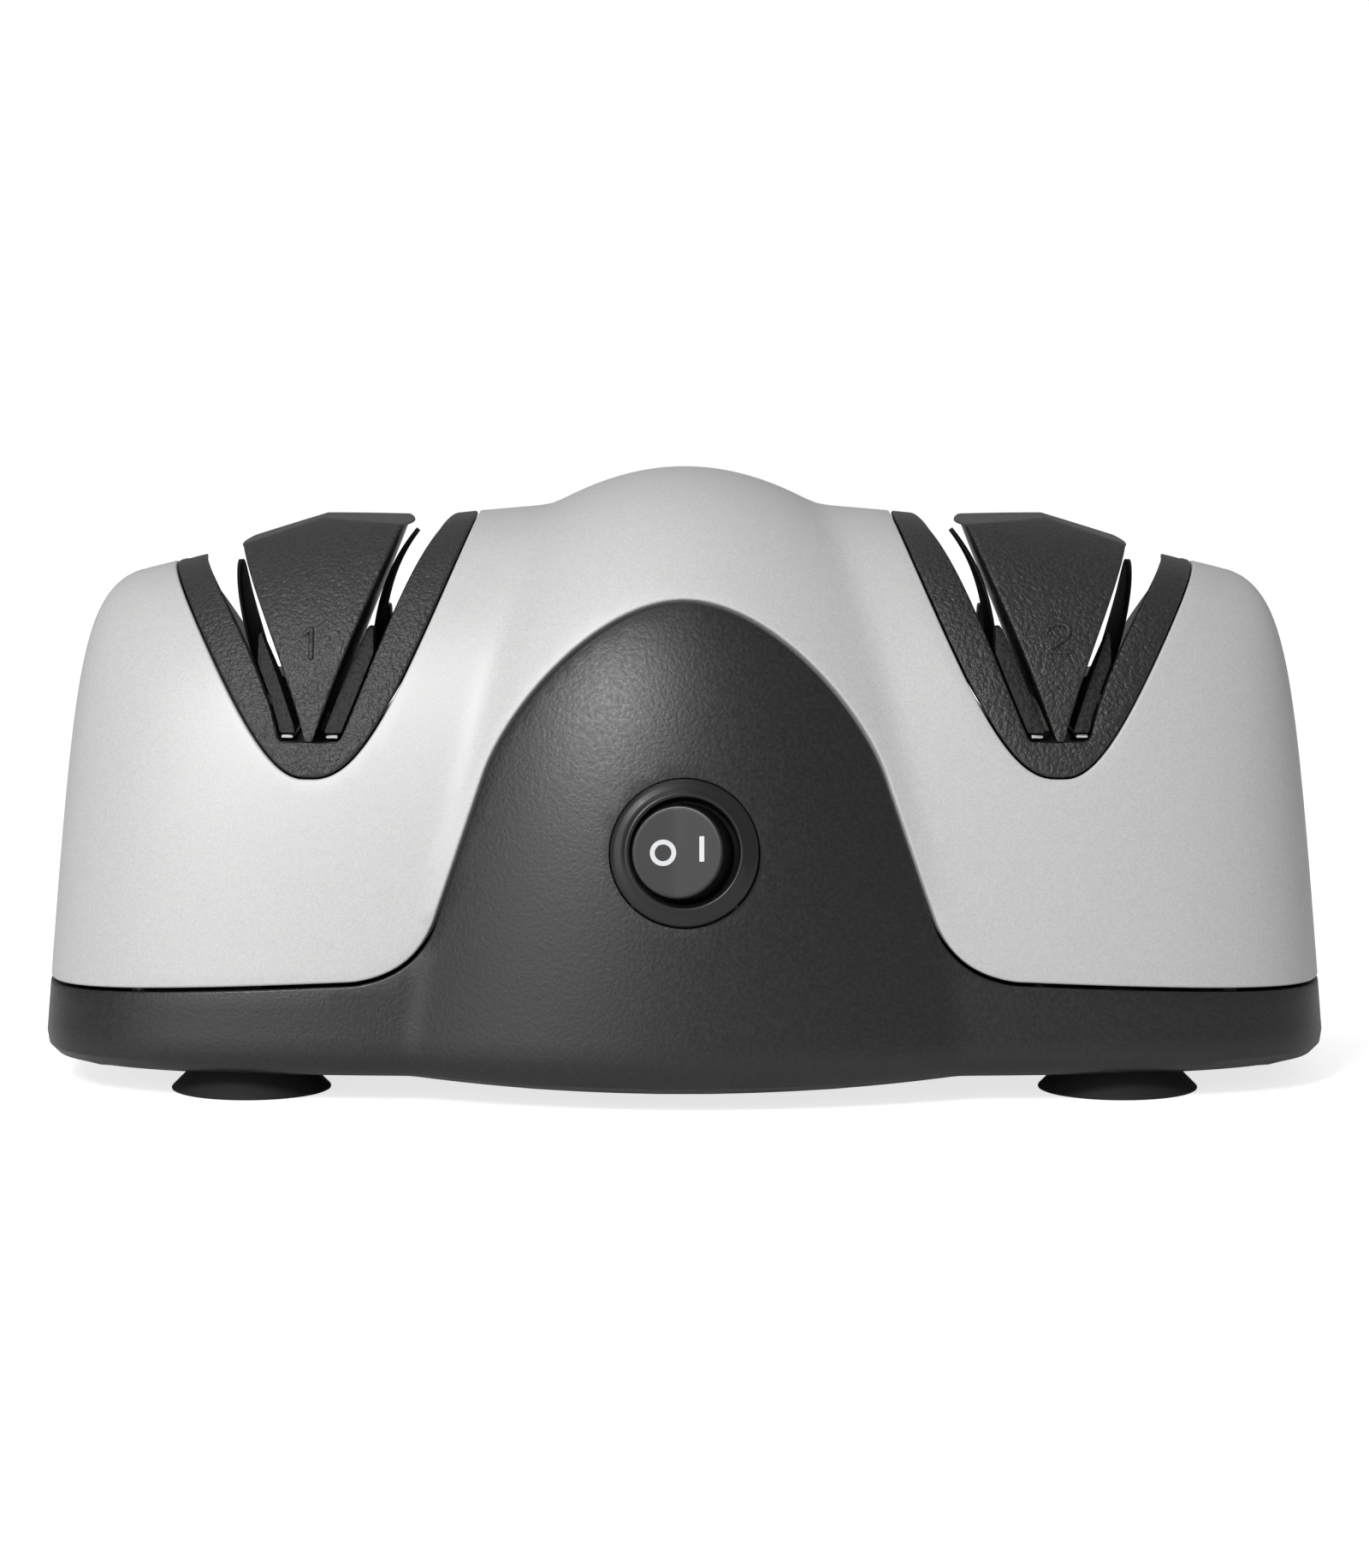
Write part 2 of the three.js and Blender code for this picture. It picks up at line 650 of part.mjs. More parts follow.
const corners = [[-1, -1], [1, -1], [1, 1], [-1, 1]];
const screwHoles = (fromZ, toZ) =>
  join(
    ...corners.map(([sx, sy]) =>
      turned(rod(screwRadius + seatGap, fromZ, toZ), smallSegments).translate([sx * bossX, sy * bossY, 0]),
    ),
  );
const screwTip = skirtBottom + screwRecess + screwHeadThickness + screwLength;
const gussetLimit = outside(gussetInset);

const cornerBosses = (top) =>
  corners.map(([sx, sy]) => bossAndGusset(sx, sy, bossBottom, top).intersect(gussetLimit));

function topCover() {
  const notches = [-1, 1].map((stage) => bayTool(bay(notchCurve), stage));
  const whole = join(cut(bodyShell, ...notches), ...cornerBosses(coverBossTop));
  return cut(whole, belowSeam(seamGap / 2), screwHoles(0, screwTip + overlap));
}

// Base housing with the arched panel
function switchFrame() {
  let [low, high] = [0, 1];
  for (let i = 0; i < halvings; i++) {
    const level = (low + high) / 2;
    if (cubic(hoodHeights, level) < switchHeight) low = level;
    else high = level;
  }
  const tilt = Math.atan2(-cubicSlope(hoodDepths, low), cubicSlope(hoodHeights, low));
  return { y: -cubic(hoodDepths, low), tilt: THREE.MathUtils.radToDeg(tilt) };
}

// Forms whose +Z points out of the panel and whose origin lies on its middle line
const panel = switchFrame();
const onPanel = (solid) => solid.rotate([90 - panel.tilt, 0, 0]).translate([0, panel.y, switchHeight]);

const glandPlan = (1 - (glandX / bodyHalfWidth) ** cornerPower) ** (1 / cornerPower);
const glandSeatY = bodyHalfDepth * glandPlan - glandSeatDepth;
const onGland = (solid) => solid.rotate([-90, 0, 0]).translate([glandX, glandSeatY, glandHeight]);

function baseHousing() {
  const opening = upright(planOutline(plateInset), -overrun, plateTop);
  const round = (radius, from) => turned(rod(radius + seatGap, from, overrun), visibleSegments);
  const bezelSeat = onPanel(round(bezelRadius, -spotDepth));
  const switchHole = onPanel(round(switchBodyRadius, -switchBodyLength));
  const glandSeat = onGland(round(glandFlangeRadius, 0));
  const glandHole = onGland(round(glandRadius, -glandLength));
  const whole = join(bodyShell, ...cornerBosses(archFoot[1])).intersect(belowSeam(-seamGap / 2));
  return cut(whole, opening, bezelSeat, switchHole, glandSeat, glandHole, screwHoles(0, archFoot[1]));
}

// Base plate with motor saddles, board posts, vents and holes
function basePlate() {
  const sheet = upright(planOutline(plateInset + seatGap), skirtBottom, plateTop);
  const headRoomTop = skirtBottom + screwRecess + screwHeadThickness + seatGap;
  const stemHole = turned(rod(footStemRadius + seatGap, 0, overrun), smallSegments);
  const headRoom = turned(rod(screwHeadRadius + seatGap, 0, headRoomTop), smallSegments);
  const holes = corners.flatMap(([sx, sy]) => [
    stemHole.translate([sx * footX, sy * footY, 0]),
    headRoom.translate([sx * bossX, sy * bossY, 0]),
  ]);
  const vents = Array.from({ length: ventCount }, (_, i) => {
    const x = (i - (ventCount - 1) / 2) * ventPitch;
    const [width, length] = [ventWidth / 2, ventLength / 2];
    return block(x - width, x + width, -length, length, 0, plateTop + overlap);
  });
  const floor = cut(sheet, ...holes, ...vents, screwHoles(0, plateTop + overlap));
  const motorRoom = onShaft(rod(motorRadius + seatGap, -overrun, overrun), fineSegments);
  const saddleTop = shaftHeight - motorRadius + saddleReach;
  const saddles = [-1, 1].map((side) => {
    const [from, to] = [side * saddleX - saddleThickness / 2, side * saddleX + saddleThickness / 2];
    return cut(block(from, to, -saddleHalfDepth, saddleHalfDepth, plateTop - overlap, saddleTop), motorRoom);
  });
  const posts = [-1, 1].map((side) =>
    turned(rod(boardPostRadius, plateTop - overlap, plateTop + boardPost), smallSegments).translate([
      boardX + (side * (boardLength - 2 * boardPostRadius)) / 2,
      boardY + (side * (boardWidth - 2 * boardPostRadius)) / 2,
      0,
    ]),
  );
  return join(floor, ...saddles, ...posts);
}

// Suction foot
function suctionFoot() {
  const top = skirtBottom - seatGap;
  const stemTop = plateTop + seatGap;
  return turned(
    [
      [0, footHollow],
      [footNeckRadius * footHollowShares[0], footHollow * footHollowShares[1]],
      [footRadius - footRimWidth, 0],
      [footRadius, 0],
      [footRadius, footRimThickness / 2],
      [footNeckRadius, top],
      [footStemRadius, top],
      [footStemRadius, stemTop],
      [footBarbRadius, stemTop],
      [footStemRadius - seatGap, stemTop + footBarbLength],
      [0, stemTop + footBarbLength],
    ],
    fineSegments,
  );
}

function baseScrew() {
  const headBottom = skirtBottom + screwRecess;
  const headTop = headBottom + screwHeadThickness;
  const body = turned(
    [
      [0, headBottom],
      [screwHeadRadius, headBottom],
      [screwHeadRadius, headTop],
      [screwRadius, headTop],
      [screwRadius, screwTip - screwRadius],
      [0, screwTip],
    ],
    smallSegments,
  );
  const [half, arm] = [crossWidth / 2, screwHeadRadius * crossArmShare];
  const slot = block(-arm, arm, -half, half, 0, headBottom + crossDepth);
  return cut(body, slot, slot.rotate([0, 0, 90]));
}

// Liner: the skin in the notch and the trough that the blades run in
function slotPocket(slot, distance) {
  const shares = slot > 0 ? pocketOuterShares : pocketInnerShares;
  const line = atShares(shares, slotSpan, slotRise, slotFloor);
  const outline = [[0, slotFloor], ...line, [0, line[line.length - 1][1]]];
  return grown(outline, distance);
}

// The outer slot opens out behind the liner's front skin, and through the skin at the rear.
function exitOutline() {
  const start = slotFloor + exitStart;
  const wallX = acrossAt(wallCurve[1], start);
  const far = notchSpan + overrun;
  const sky = notchTop + overrun;
  const end = start + (far - wallX) * Math.tan(radians(exitAngle));
  return [[0, start], [wallX, start], [far, end], [far, sky], [0, sky]];
}

function slotLiner(stage) {
  const mouth = bay(wallCurve);
  const trough = bayTool(grown(mouth, troughWall), stage);
  const pockets = [1, -1].map((slot) => {
    const half = pocketHalfDepth + troughWall;
    return alongY(placed(slotPocket(slot, troughWall), stage), -half, half);
  });
  const rooms = [1, -1].map((slot) =>
    alongY(placed(slotPocket(slot, 0), stage), -pocketHalfDepth, pocketHalfDepth),
  );
  const skinBay = bayTool(grown(bay(notchCurve), -seamGap), stage);
  const skin = bodyShell.intersect(skinBay);
  const exitShell = skinBay.intersect(bayTool(grown(exitOutline(), exitWall), stage));
  const core = join(trough, ...pockets, exitShell).intersect(inside(wall - overlap / 2));
  const exitBay = bayTool(grown(bay(notchCurve), -seamGap - exitWall), stage);
  const rear = block(-bodyHalfWidth, bodyHalfWidth, 0, clearFront, 0, hoodTop + overrun);
  const exit = exitBay.intersect(bayTool(exitOutline(), stage)).intersect(join(bodyInside, rear));
  const tools = [bayTool(mouth, stage), ...rooms, wheelRoom(stage), keel(stage, seatGap), exit];
  return cut(join(skin, core), ...tools);
}

// Wedge between the two slots of a stage, hollow and with a keel that plugs into the trough's floor
const keelWidth = 2 * flankOuterShares[0][0] * slotSpan;

function keel(stage, gap) {
  const half = keelWidth / 2 + gap;
  const x = stage * stageOffset;
  const [bottom, top] = [slotFloor - keelDrop - gap, slotFloor + 2 * seatGap];
  return join(
    ...[-1, 1].map((side) => {
      const ends = [side * (keelStart - gap), side * (keelStart + keelLength + gap)];
      return block(x - half, x + half, Math.min(...ends), Math.max(...ends), bottom, top);
    }),
  );
}

const wedgeOutline = () => {
  const lifted = (curve) => [[acrossAt(curve, slotFloor + seatGap), slotFloor + seatGap], ...curve.slice(1)];
  return [...lifted(flankCurve[1]).reverse(), ...lifted(flankCurve[-1]), [wedgePeakOffset, wedgePeak]];
};

function hollowOutline() {
  const start = slotFloor + wedgeHollowStart;
  const side = (slot) => {
    const curve = flankCurve[slot];
    const above = curve.filter(([, z]) => z > start).map(([x, z]) => [x - slot * wedgeWall, z - wedgeWall]);
    return [[acrossAt(curve, start) - slot * wedgeWall, start], ...above.filter(([, z]) => z > start)];
  };
  return [...side(1).reverse(), ...side(-1), [wedgePeakOffset, wedgePeak - wedgeWall]];
}

function wedge(stage) {
  const body = bayTool(wedgeOutline(), stage).intersect(outside(-wedgeProud, wedgeLift));
  const hollow = bayTool(hollowOutline(), stage).intersect(outside(wedgeWall - wedgeProud, wedgeLift));
  return join(cut(body, hollow, wheelRoom(stage)), keel(stage, 0));
}

// Blade guides of one slot: front and rear pads on a rail, a clip under them and a leaf spring
const clipBottom = slotFloor + seatGap;
const clipTop = clipBottom + clipThickness;
const railBottom = clipTop + seatGap;
const padLimit = outside(padRecess);

const railOuter = (slot) => acrossAt(wallCurve[slot], railBottom) - slot * seatGap;

function guidePad(stage, slot) {
  const heights = (top) =>
    Array.from({ length: padSteps + 1 }, (_, i) => railBottom + ((top - railBottom) * i) / padSteps);
  const flank = (z) => [acrossAt(flankCurve[slot], z) + slot * bladeGap, z];
  const back = (z) => [acrossAt(wallCurve[slot], z) - slot * seatGap, z];
  const inner = heights(slotFloor + padTopShare * slotRise).map(flank);
  const outer = heights(slotFloor + padShoulderShares[slot] * slotRise).map(back);
  const [topX, topZ] = inner[inner.length - 1];
  const lance = placed([...inner, [topX + slot * padTopWidth[slot], topZ], ...outer.reverse()], stage);
  const bars = [-1, 1].map((side) => {
    const ends = [side * padInnerY, side * clearFront];
    return alongY(lance, Math.min(...ends), Math.max(...ends)).intersect(padLimit);
  });
  const railInner = slot * (wheelThickness / 2 + wheelFloat + runningGap + seatGap);
  const ends = [stage * (stageOffset + railInner), stage * (stageOffset + railOuter(slot))];
  const half = padInnerY + overlap;
  const rail = block(Math.min(...ends), Math.max(...ends), -half, half, railBottom, railBottom + railHeight);
  return join(rail, ...bars);
}

function guideClip(stage, slot) {
  const outer = acrossAt(wallCurve[slot], clipBottom) - slot * seatGap;
  const strip = [stage * (stageOffset + outer), stage * (stageOffset + outer - slot * clipWidth)];
  const long = block(Math.min(...strip), Math.max(...strip), -clearFront, clearFront, clipBottom, clipTop);
  const foot = atShares(slot > 0 ? leafOuterShares : leafInnerShares, slotSpan, slotRise, slotFloor)[0][0];
  const tabEnds = [outer - (slot * clipWidth) / 2, foot + slot * leafThickness];
  const tab = tabEnds.map((x) => stage * (stageOffset + x));
  const half = clipTabHalfDepth;
  const seat = block(Math.min(...tab), Math.max(...tab), -half, half, clipBottom, clipTop);
  return cut(join(long.intersect(padLimit), seat), wheelRoom(stage));
}

function leafSpring(stage, slot) {
  const line = atShares(slot > 0 ? leafOuterShares : leafInnerShares, slotSpan, slotRise, slotFloor);
  const half = leafThickness / 2;
  const strip = [...line.map(([x, z]) => [x - half, z]), ...line.map(([x, z]) => [x + half, z]).reverse()];
  const [bottom, top] = [line[0][1], line[line.length - 1][1]];
  const tongue = [[leafHalfDepth, bottom - overlap]];
  for (let i = 0; i <= fineSegments / 2; i++) {
    const angle = (full * i) / fineSegments;
    tongue.push([leafHalfDepth * Math.cos(angle), top - leafHalfDepth * (1 - Math.sin(angle))]);
  }
  tongue.push([-leafHalfDepth, bottom - overlap]);
  return alongY(placed(strip, stage), -clearFront, clearFront).intersect(
    alongX(tongue, -bodyHalfWidth - overrun, bodyHalfWidth + overrun),
  );
}

// Shaft line
const hubHalf = hubLength / 2;
const springStart = stageOffset - hubHalf - springPlay - springLength; // of the spring on the motor's side
const springEnd = stageOffset + hubHalf + springPlay + springLength; // of the spring on the outer side
const innerCollar = [springStart - seatGap - collarLength, springStart - seatGap];
const outerCollar = [springEnd + seatGap, springEnd + seatGap + collarLength];
const motorEnd = motorHalfLength + seatGap + capThickness + capBossLength;
const fanCentre = (motorEnd + innerCollar[0]) / 2;
const fanLength = fanLengthShare * (innerCollar[0] - motorEnd);

function mainShaft() {
  const half = [
    [shaftRadius, 0],
    [shaftRadius, innerCollar[0]],
    [collarRadius, innerCollar[0]],
    [collarRadius, innerCollar[1]],
    [shaftRadius, innerCollar[1]],
    [shaftRadius, outerCollar[0]],
    [collarRadius, outerCollar[0]],
    [collarRadius, outerCollar[1]],
    [shaftRadius, outerCollar[1]],
    [shaftRadius, shaftHalfLength - seatGap],
    [shaftRadius - seatGap, shaftHalfLength],
    [0, shaftHalfLength],
  ];
  const lower = half.slice(1).map(([r, x]) => [r, -x]).reverse();
  return onShaft([...lower, ...half.slice(1)], smallSegments);
}

function grindingWheel() {
  const [half, bore] = [wheelThickness / 2, hubRadius + seatGap];
  const face = wheelRadius - wheelFaceChamfer;
  return onShaft(
    [
      [bore, -half],
      [face, -half],
      [wheelRadius, wheelFaceChamfer - half],
      [wheelRadius, half - wheelFaceChamfer],
      [face, half],
      [bore, half],
    ],
    fineSegments,
  );
}

function wheelHub() {
  const bore = shaftRadius + seatGap;
  const flange = -wheelThickness / 2 - seatGap;
  return onShaft([
    [bore, -hubHalf],
    [hubRadius, -hubHalf],
    [hubRadius, flange - hubFlangeThickness],
    [hubFlangeRadius, flange - hubFlangeThickness],
    [hubFlangeRadius, flange],
    [hubRadius, flange],
    [hubRadius, hubHalf],
    [bore, hubHalf],
  ]);
}

class HelixCurve extends THREE.Curve {
  getPoint(t, target = new THREE.Vector3()) {
    const angle = full * springTurns * t;
    const wire = springWire / 2;
    const x = wire + (springLength - springWire) * t;
    return target.set(x, springRadius * Math.cos(angle), springRadius * Math.sin(angle));
  }
}

function floatSpring() {
  const section = Array.from({ length: springSides }, (_, i) => {
    const angle = (full * i) / springSides;
    return [(springWire / 2) * Math.cos(angle), (springWire / 2) * Math.sin(angle)];
  });
  const options = { steps: springTurns * springSteps, bevelEnabled: false, extrudePath: new HelixCurve() };
  return solidFrom(new THREE.ExtrudeGeometry(shapeFrom(section), options)).translate([0, 0, shaftHeight]);
}

function ballBearing() {
  const [half, bore] = [bearingLength / 2, shaftRadius + seatGap];
  const [inner, outer] = [bore + raceWidth, bearingRadius - raceWidth];
  const dish = half - raceDish;
  return onShaft([
    [bore, -half],
    [inner, -half],
    [inner, -dish],
    [outer, -dish],
    [outer, -half],
    [bearingRadius, -half],
    [bearingRadius, half],
    [outer, half],
    [outer, dish],
    [inner, dish],
    [inner, half],
    [bore, half],
  ]);
}

function bearingBracket() {
  const bottom = plateTop + seatGap;
  const rim = bearingRadius + seatGap + bracketRim;
  const arch = Array.from({ length: smallSegments + 1 }, (_, i) => {
    const angle = (Math.PI * i) / smallSegments;
    return [rim * Math.cos(angle), shaftHeight + rim * Math.sin(angle)];
  });
  const outline = [[bracketHalfDepth, bottom], ...arch, [-bracketHalfDepth, bottom]];
  const half = bracketThickness / 2;
  const stand = alongX(outline, -half, half);
  const [length, top] = [bracketFootHalfLength, bottom + bracketFootThickness];
  const foot = block(-length, length, -bracketHalfDepth, bracketHalfDepth, bottom, top);
  const bore = onShaft(rod(bearingRadius + seatGap, -overrun, overrun));
  return cut(join(stand, foot), bore);
}

// Motor
const canInner = motorRadius - canThickness;
const magnetOuter = canInner - seatGap;
const magnetInner = magnetOuter - magnetThickness;
const armatureRadius = magnetInner - armatureGap;

const motorCan = () => onShaft(tube(canInner, motorRadius, -motorHalfLength, motorHalfLength), fineSegments);

function magnet(side) {
  const half = radians(magnetAngle / 2);
  const arc = (radius) =>
    Array.from({ length: magnetSteps + 1 }, (_, i) => {
      const angle = side * (Math.PI / 2) - half + (2 * half * i) / magnetSteps;
      return [radius * Math.cos(angle), shaftHeight + radius * Math.sin(angle)];
    });
  const outline = [...arc(magnetOuter), ...arc(magnetInner).reverse()];
  return alongX(outline, armatureCentre - armatureHalfLength, armatureCentre + armatureHalfLength);
}

// Slot tools of the armature, grown by a gap
function armatureSlotBars(from, to, gap) {
  const bars = [];
  for (let i = 0; i < armatureSlots; i++) {
    const half = armatureSlotWidth / 2 - gap;
    const inner = armatureRadius - armatureSlotDepth + gap;
    const outer = armatureRadius + (gap ? -2 * gap : overlap);
    const bar = block(from, to, -half, half, inner, outer);
    bars.push(bar.rotate([(360 * i) / armatureSlots, 0, 0]).translate([0, 0, shaftHeight]));
  }
  return join(...bars);
}

const coreStart = armatureCentre - armatureHalfLength;
const coreEnd = armatureCentre + armatureHalfLength;
const shaftBore = shaftRadius + seatGap;

function armatureCore() {
  const stack = onShaft(tube(shaftBore, armatureRadius, coreStart, coreEnd), fineSegments);
  return cut(stack, armatureSlotBars(coreStart - overlap, coreEnd + overlap, 0));
}

function armatureWinding() {
  const inner = commutatorRadius + runningGap;
  const heads = [
    onShaft(tube(inner, windingRadius, coreStart - seatGap - windingHead, coreStart - seatGap)),
    onShaft(tube(inner, windingRadius, coreEnd + seatGap, coreEnd + seatGap + windingHead)),
  ];
  const reach = seatGap + windingHead / 2;
  return join(...heads, armatureSlotBars(coreStart - reach, coreEnd + reach, seatGap));
}

function commutator() {
  const half = commutatorLength / 2;
  return onShaft(tube(shaftBore, commutatorRadius, commutatorCentre - half, commutatorCentre + half));
}

const brushInner = commutatorRadius + seatGap;

function brush(side) {
  const half = brushWidth / 2;
  const ends = [side * brushInner, side * (brushInner + brushLength)];
  const [from, to] = [commutatorCentre - half, commutatorCentre + half];
  return block(from, to, Math.min(...ends), Math.max(...ends), shaftHeight - half, shaftHeight + half);
}

// End cap at the left (-1) or right (1) end of the can, with its bearing boss; the left one holds the brushes
function endCap(side) {
  const face = motorHalfLength + seatGap;
  const bore = sleeveRadius + seatGap;
  const profile = [
    [bore, face],
    [motorRadius, face],
    [motorRadius, face + capThickness],
    [capBossRadius, face + capThickness],
    [capBossRadius, face + capThickness + capBossLength],
    [bore, face + capThickness + capBossLength],
  ];
  const cap = onShaft(profile.map(([r, x]) => [r, side * x]), fineSegments);
  return side < 0 ? join(cap, ...[-1, 1].map(brushHolder)) : cap;
}

function brushHolder(side) {
  const gap = seatGap;
  const half = brushWidth / 2 + gap + brushHolderWall;
  const inner = commutatorRadius + 2 * runningGap;
  const outer = brushInner + brushLength + gap + brushHolderWall;
  const ends = [side * inner, side * outer];
  const [left, right] = [-motorHalfLength - seatGap - overlap, commutatorCentre + half];
  const [bottom, top] = [shaftHeight - half, shaftHeight + half];
  const box = block(left, right, Math.min(...ends), Math.max(...ends), bottom, top);
  const room = brushWidth / 2 + gap;
  const depth = [0, side * (outer - brushHolderWall)];
  const hole = block(
    commutatorCentre - room,
    commutatorCentre + room,
    Math.min(...depth),
    Math.max(...depth),
    shaftHeight - room,
    shaftHeight + room,
  );
  return cut(box, hole);
}

function sleeveBearing(side) {
  const middle = side * (motorHalfLength + seatGap + (capThickness + capBossLength) / 2);
  return onShaft(tube(shaftBore, sleeveRadius, middle - sleeveLength / 2, middle + sleeveLength / 2));
}

function coolingFan() {
  const half = fanLength / 2;
  const hub = onShaft(tube(shaftBore, fanHubRadius, fanCentre - half, fanCentre + half));
  const width = fanBladeThickness / 2;
  const blades = Array.from({ length: fanBlades }, (_, i) =>
    block(-half, half, -width, width, fanHubRadius - overlap, fanRadius)
      .rotate([0, 0, fanPitch])
      .rotate([(360 * i) / fanBlades, 0, 0])
      .translate([fanCentre, 0, shaftHeight]),
  );
  const room = onShaft(rod(fanRadius, fanCentre - half, fanCentre + half), fineSegments);
  return join(hub, join(...blades).intersect(room));
}

// Rocker switch. Heights are along the panel's normal, from the panel's middle line.
const bezelBottom = seatGap - spotDepth;
const bezelTop = bezelBottom + bezelThickness;
const lipTop = bezelTop + bezelLipHeight;
const wellFloor = lipTop - switchWellDepth;
const switchBack = bezelBottom - switchBodyLength;
const rockerPivot = lipTop - rockerPivotDepth;

function switchBody() {
  const body = turned(
    [
      [0, wellFloor],
      [switchWellRadius, wellFloor],
      [switchWellRadius, lipTop - bezelChamfer],
      [switchWellRadius + bezelChamfer, lipTop],
      [bezelLipRadius, lipTop],
      [bezelLipRadius + bezelChamfer, bezelTop],
      [bezelRadius - bezelChamfer, bezelTop],
      [bezelRadius, bezelTop - bezelChamfer],
      [bezelRadius, bezelBottom],
      [switchBodyRadius, bezelBottom],
      [switchBodyRadius, switchBack],
      [0, switchBack],
    ],
    visibleSegments,
  );
  return onPanel(cut(body, rockerPin(seatGap)));
}

const rockerPin = (gap) =>
  turned(rod(rockerPinRadius + gap, -rockerPinHalfLength - gap, rockerPinHalfLength + gap), smallSegments)
    .rotate([90, 0, 0])
    .translate([0, 0, rockerPivot]);

// The rocker rests tilted to its O side, which is the left one.
function rocker() {
  const top = lipTop + rockerProud;
  const bottom = top - rockerHeight;
  const side = [[rockerRadius, bottom], [rockerRadius, rockerPivot], [rockerFaceRadius, top]];
  const disc = turned([[0, bottom], ...side, [0, top]], visibleSegments);
  const fall = rockerRadius * Math.tan(radians(rockerValley));
  const reach = rockerRadius + overlap;
  const rise = reach * Math.tan(radians(rockerValley)) - fall;
  const sky = top + overrun;
  const valley = [[-reach, top + rise], [0, top - fall], [reach, top + rise], [reach, sky], [-reach, sky]];
  const faced = cut(disc, alongY(valley, -reach, reach));
  const whole = join(faced, rockerPin(0)).translate([0, 0, -rockerPivot]);
  return onPanel(whole.rotate([0, -rockerTilt, 0]).translate([0, 0, rockerPivot]));
}

function terminal(side) {
  const top = switchBack - seatGap;
  const [x, w, t] = [side * terminalOffset, terminalThickness / 2, terminalWidth / 2];
  return onPanel(block(x - w, x + w, -t, t, top - terminalLength, top));
}

// Cord gland, turned about an axis that points out of the rear skirt
function cordGland() {
  const inner = seatGap - glandLength;
  const snap = -wall - seatGap - glandRidge;
  return onGland(
    turned([
      [cordBore, inner],
      [glandRadius, inner],
      [glandRadius, snap - glandRidgeLength],
      [glandRadius + glandRidge, snap - glandRidgeLength / 2],
      [glandRadius, snap],
      [glandRadius, seatGap],
      [glandFlangeRadius, seatGap],
      [glandFlangeRadius, seatGap + glandFlangeThickness / 2],
      [glandRadius, seatGap + glandFlangeThickness],
      [cordBore, seatGap + glandFlangeThickness],
    ]),
  );
}

// Rectifier board and what stands on it
const boardBottom = plateTop + boardPost + seatGap;
const boardTop = boardBottom + boardThickness;

function rectifierBoard() {
  const [x, y] = [boardX - boardLength / 4, boardY + boardWidth / 6];
  const half = bridgeSize / 2;
  const [left, right] = [boardX - boardLength / 2, boardX + boardLength / 2];
  const sheet = block(left, right, boardY - boardWidth / 2, boardY + boardWidth / 2, boardBottom, boardTop);
  const bridge = block(x - half, x + half, y - half, y + half, boardBottom, boardTop + bridgeHeight);
  return join(sheet, bridge);
}

function capacitor() {
  const can = turned(rod(capacitorRadius, -capacitorLength / 2, capacitorLength / 2)).rotate([90, 0, 0]);
  return can.translate([boardX + boardLength / 4, boardY, boardTop + seatGap + capacitorRadius]);
}

// The assembly
const sharpener = new THREE.Group();
sharpener.name = "knife_sharpener";

function add(name, solid, material, parent = sharpener) {
  const mesh = new THREE.Mesh(geometryFrom(solid), material);
  mesh.name = name;
  parent.add(mesh);
  return mesh;
}

function addCopies(names, solid, places, material) {
  const geometry = geometryFrom(solid);
  names.forEach((name, i) => {
    const mesh = new THREE.Mesh(geometry, material);
    mesh.name = name;
    mesh.position.set(...places[i]);
    sharpener.add(mesh);
  });
}

const cornerNames = ["front_left", "front_right", "rear_right", "rear_left"];

add("top_cover", topCover(), silverPaint);
add("base_housing", baseHousing(), blackPlastic);
add("base_plate", basePlate(), blackPlastic);
const footPlaces = corners.map(([sx, sy]) => [sx * footX, sy * footY, 0]);
addCopies(cornerNames.map((name) => `suction_foot_${name}`), suctionFoot(), footPlaces, rubber);
const screwPlaces = corners.map(([sx, sy]) => [sx * bossX, sy * bossY, 0]);
addCopies(cornerNames.map((name) => `base_screw_${name}`), baseScrew(), screwPlaces, steel);

const stages = [[1, -1, "coarse"], [2, 1, "fine"]];
for (const [number, stage, grit] of stages) {
  add(`stage_${number}_liner`, slotLiner(stage), linerPlastic);
  add(`stage_${number}_wedge`, wedge(stage), linerPlastic);
  for (const slot of [-1, 1]) {
    const name = `stage_${number}_${stage * slot < 0 ? "left" : "right"}`;
    add(`${name}_guide_pads`, guidePad(stage, slot), linerPlastic);
    add(`${name}_guide_clip`, guideClip(stage, slot), brightSteel);
    add(`${name}_leaf_spring`, leafSpring(stage, slot), darkSteel);
  }
  const side = [stage * stageOffset, 0, 0];
  addCopies([`${grit}_wheel`], grindingWheel(), [side], grit === "coarse" ? coarseStone : fineStone);
  addCopies([`${grit}_wheel_hub`], wheelHub(), [side], glossPlastic);
  const starts = [springStart, stageOffset + hubHalf + springPlay];
  const springPlaces = starts.map((x) => [stage > 0 ? x : -x - springLength, 0, 0]);
  addCopies([`${grit}_wheel_inner_spring`, `${grit}_wheel_outer_spring`], floatSpring(), springPlaces, steel);
}

add("main_shaft", mainShaft(), steel);
const bearingPlaces = [[-bearingOffset, 0, 0], [bearingOffset, 0, 0]];
addCopies(["left_shaft_bearing", "right_shaft_bearing"], ballBearing(), bearingPlaces, brightSteel);
addCopies(["left_bearing_bracket", "right_bearing_bracket"], bearingBracket(), bearingPlaces, blackPlastic);

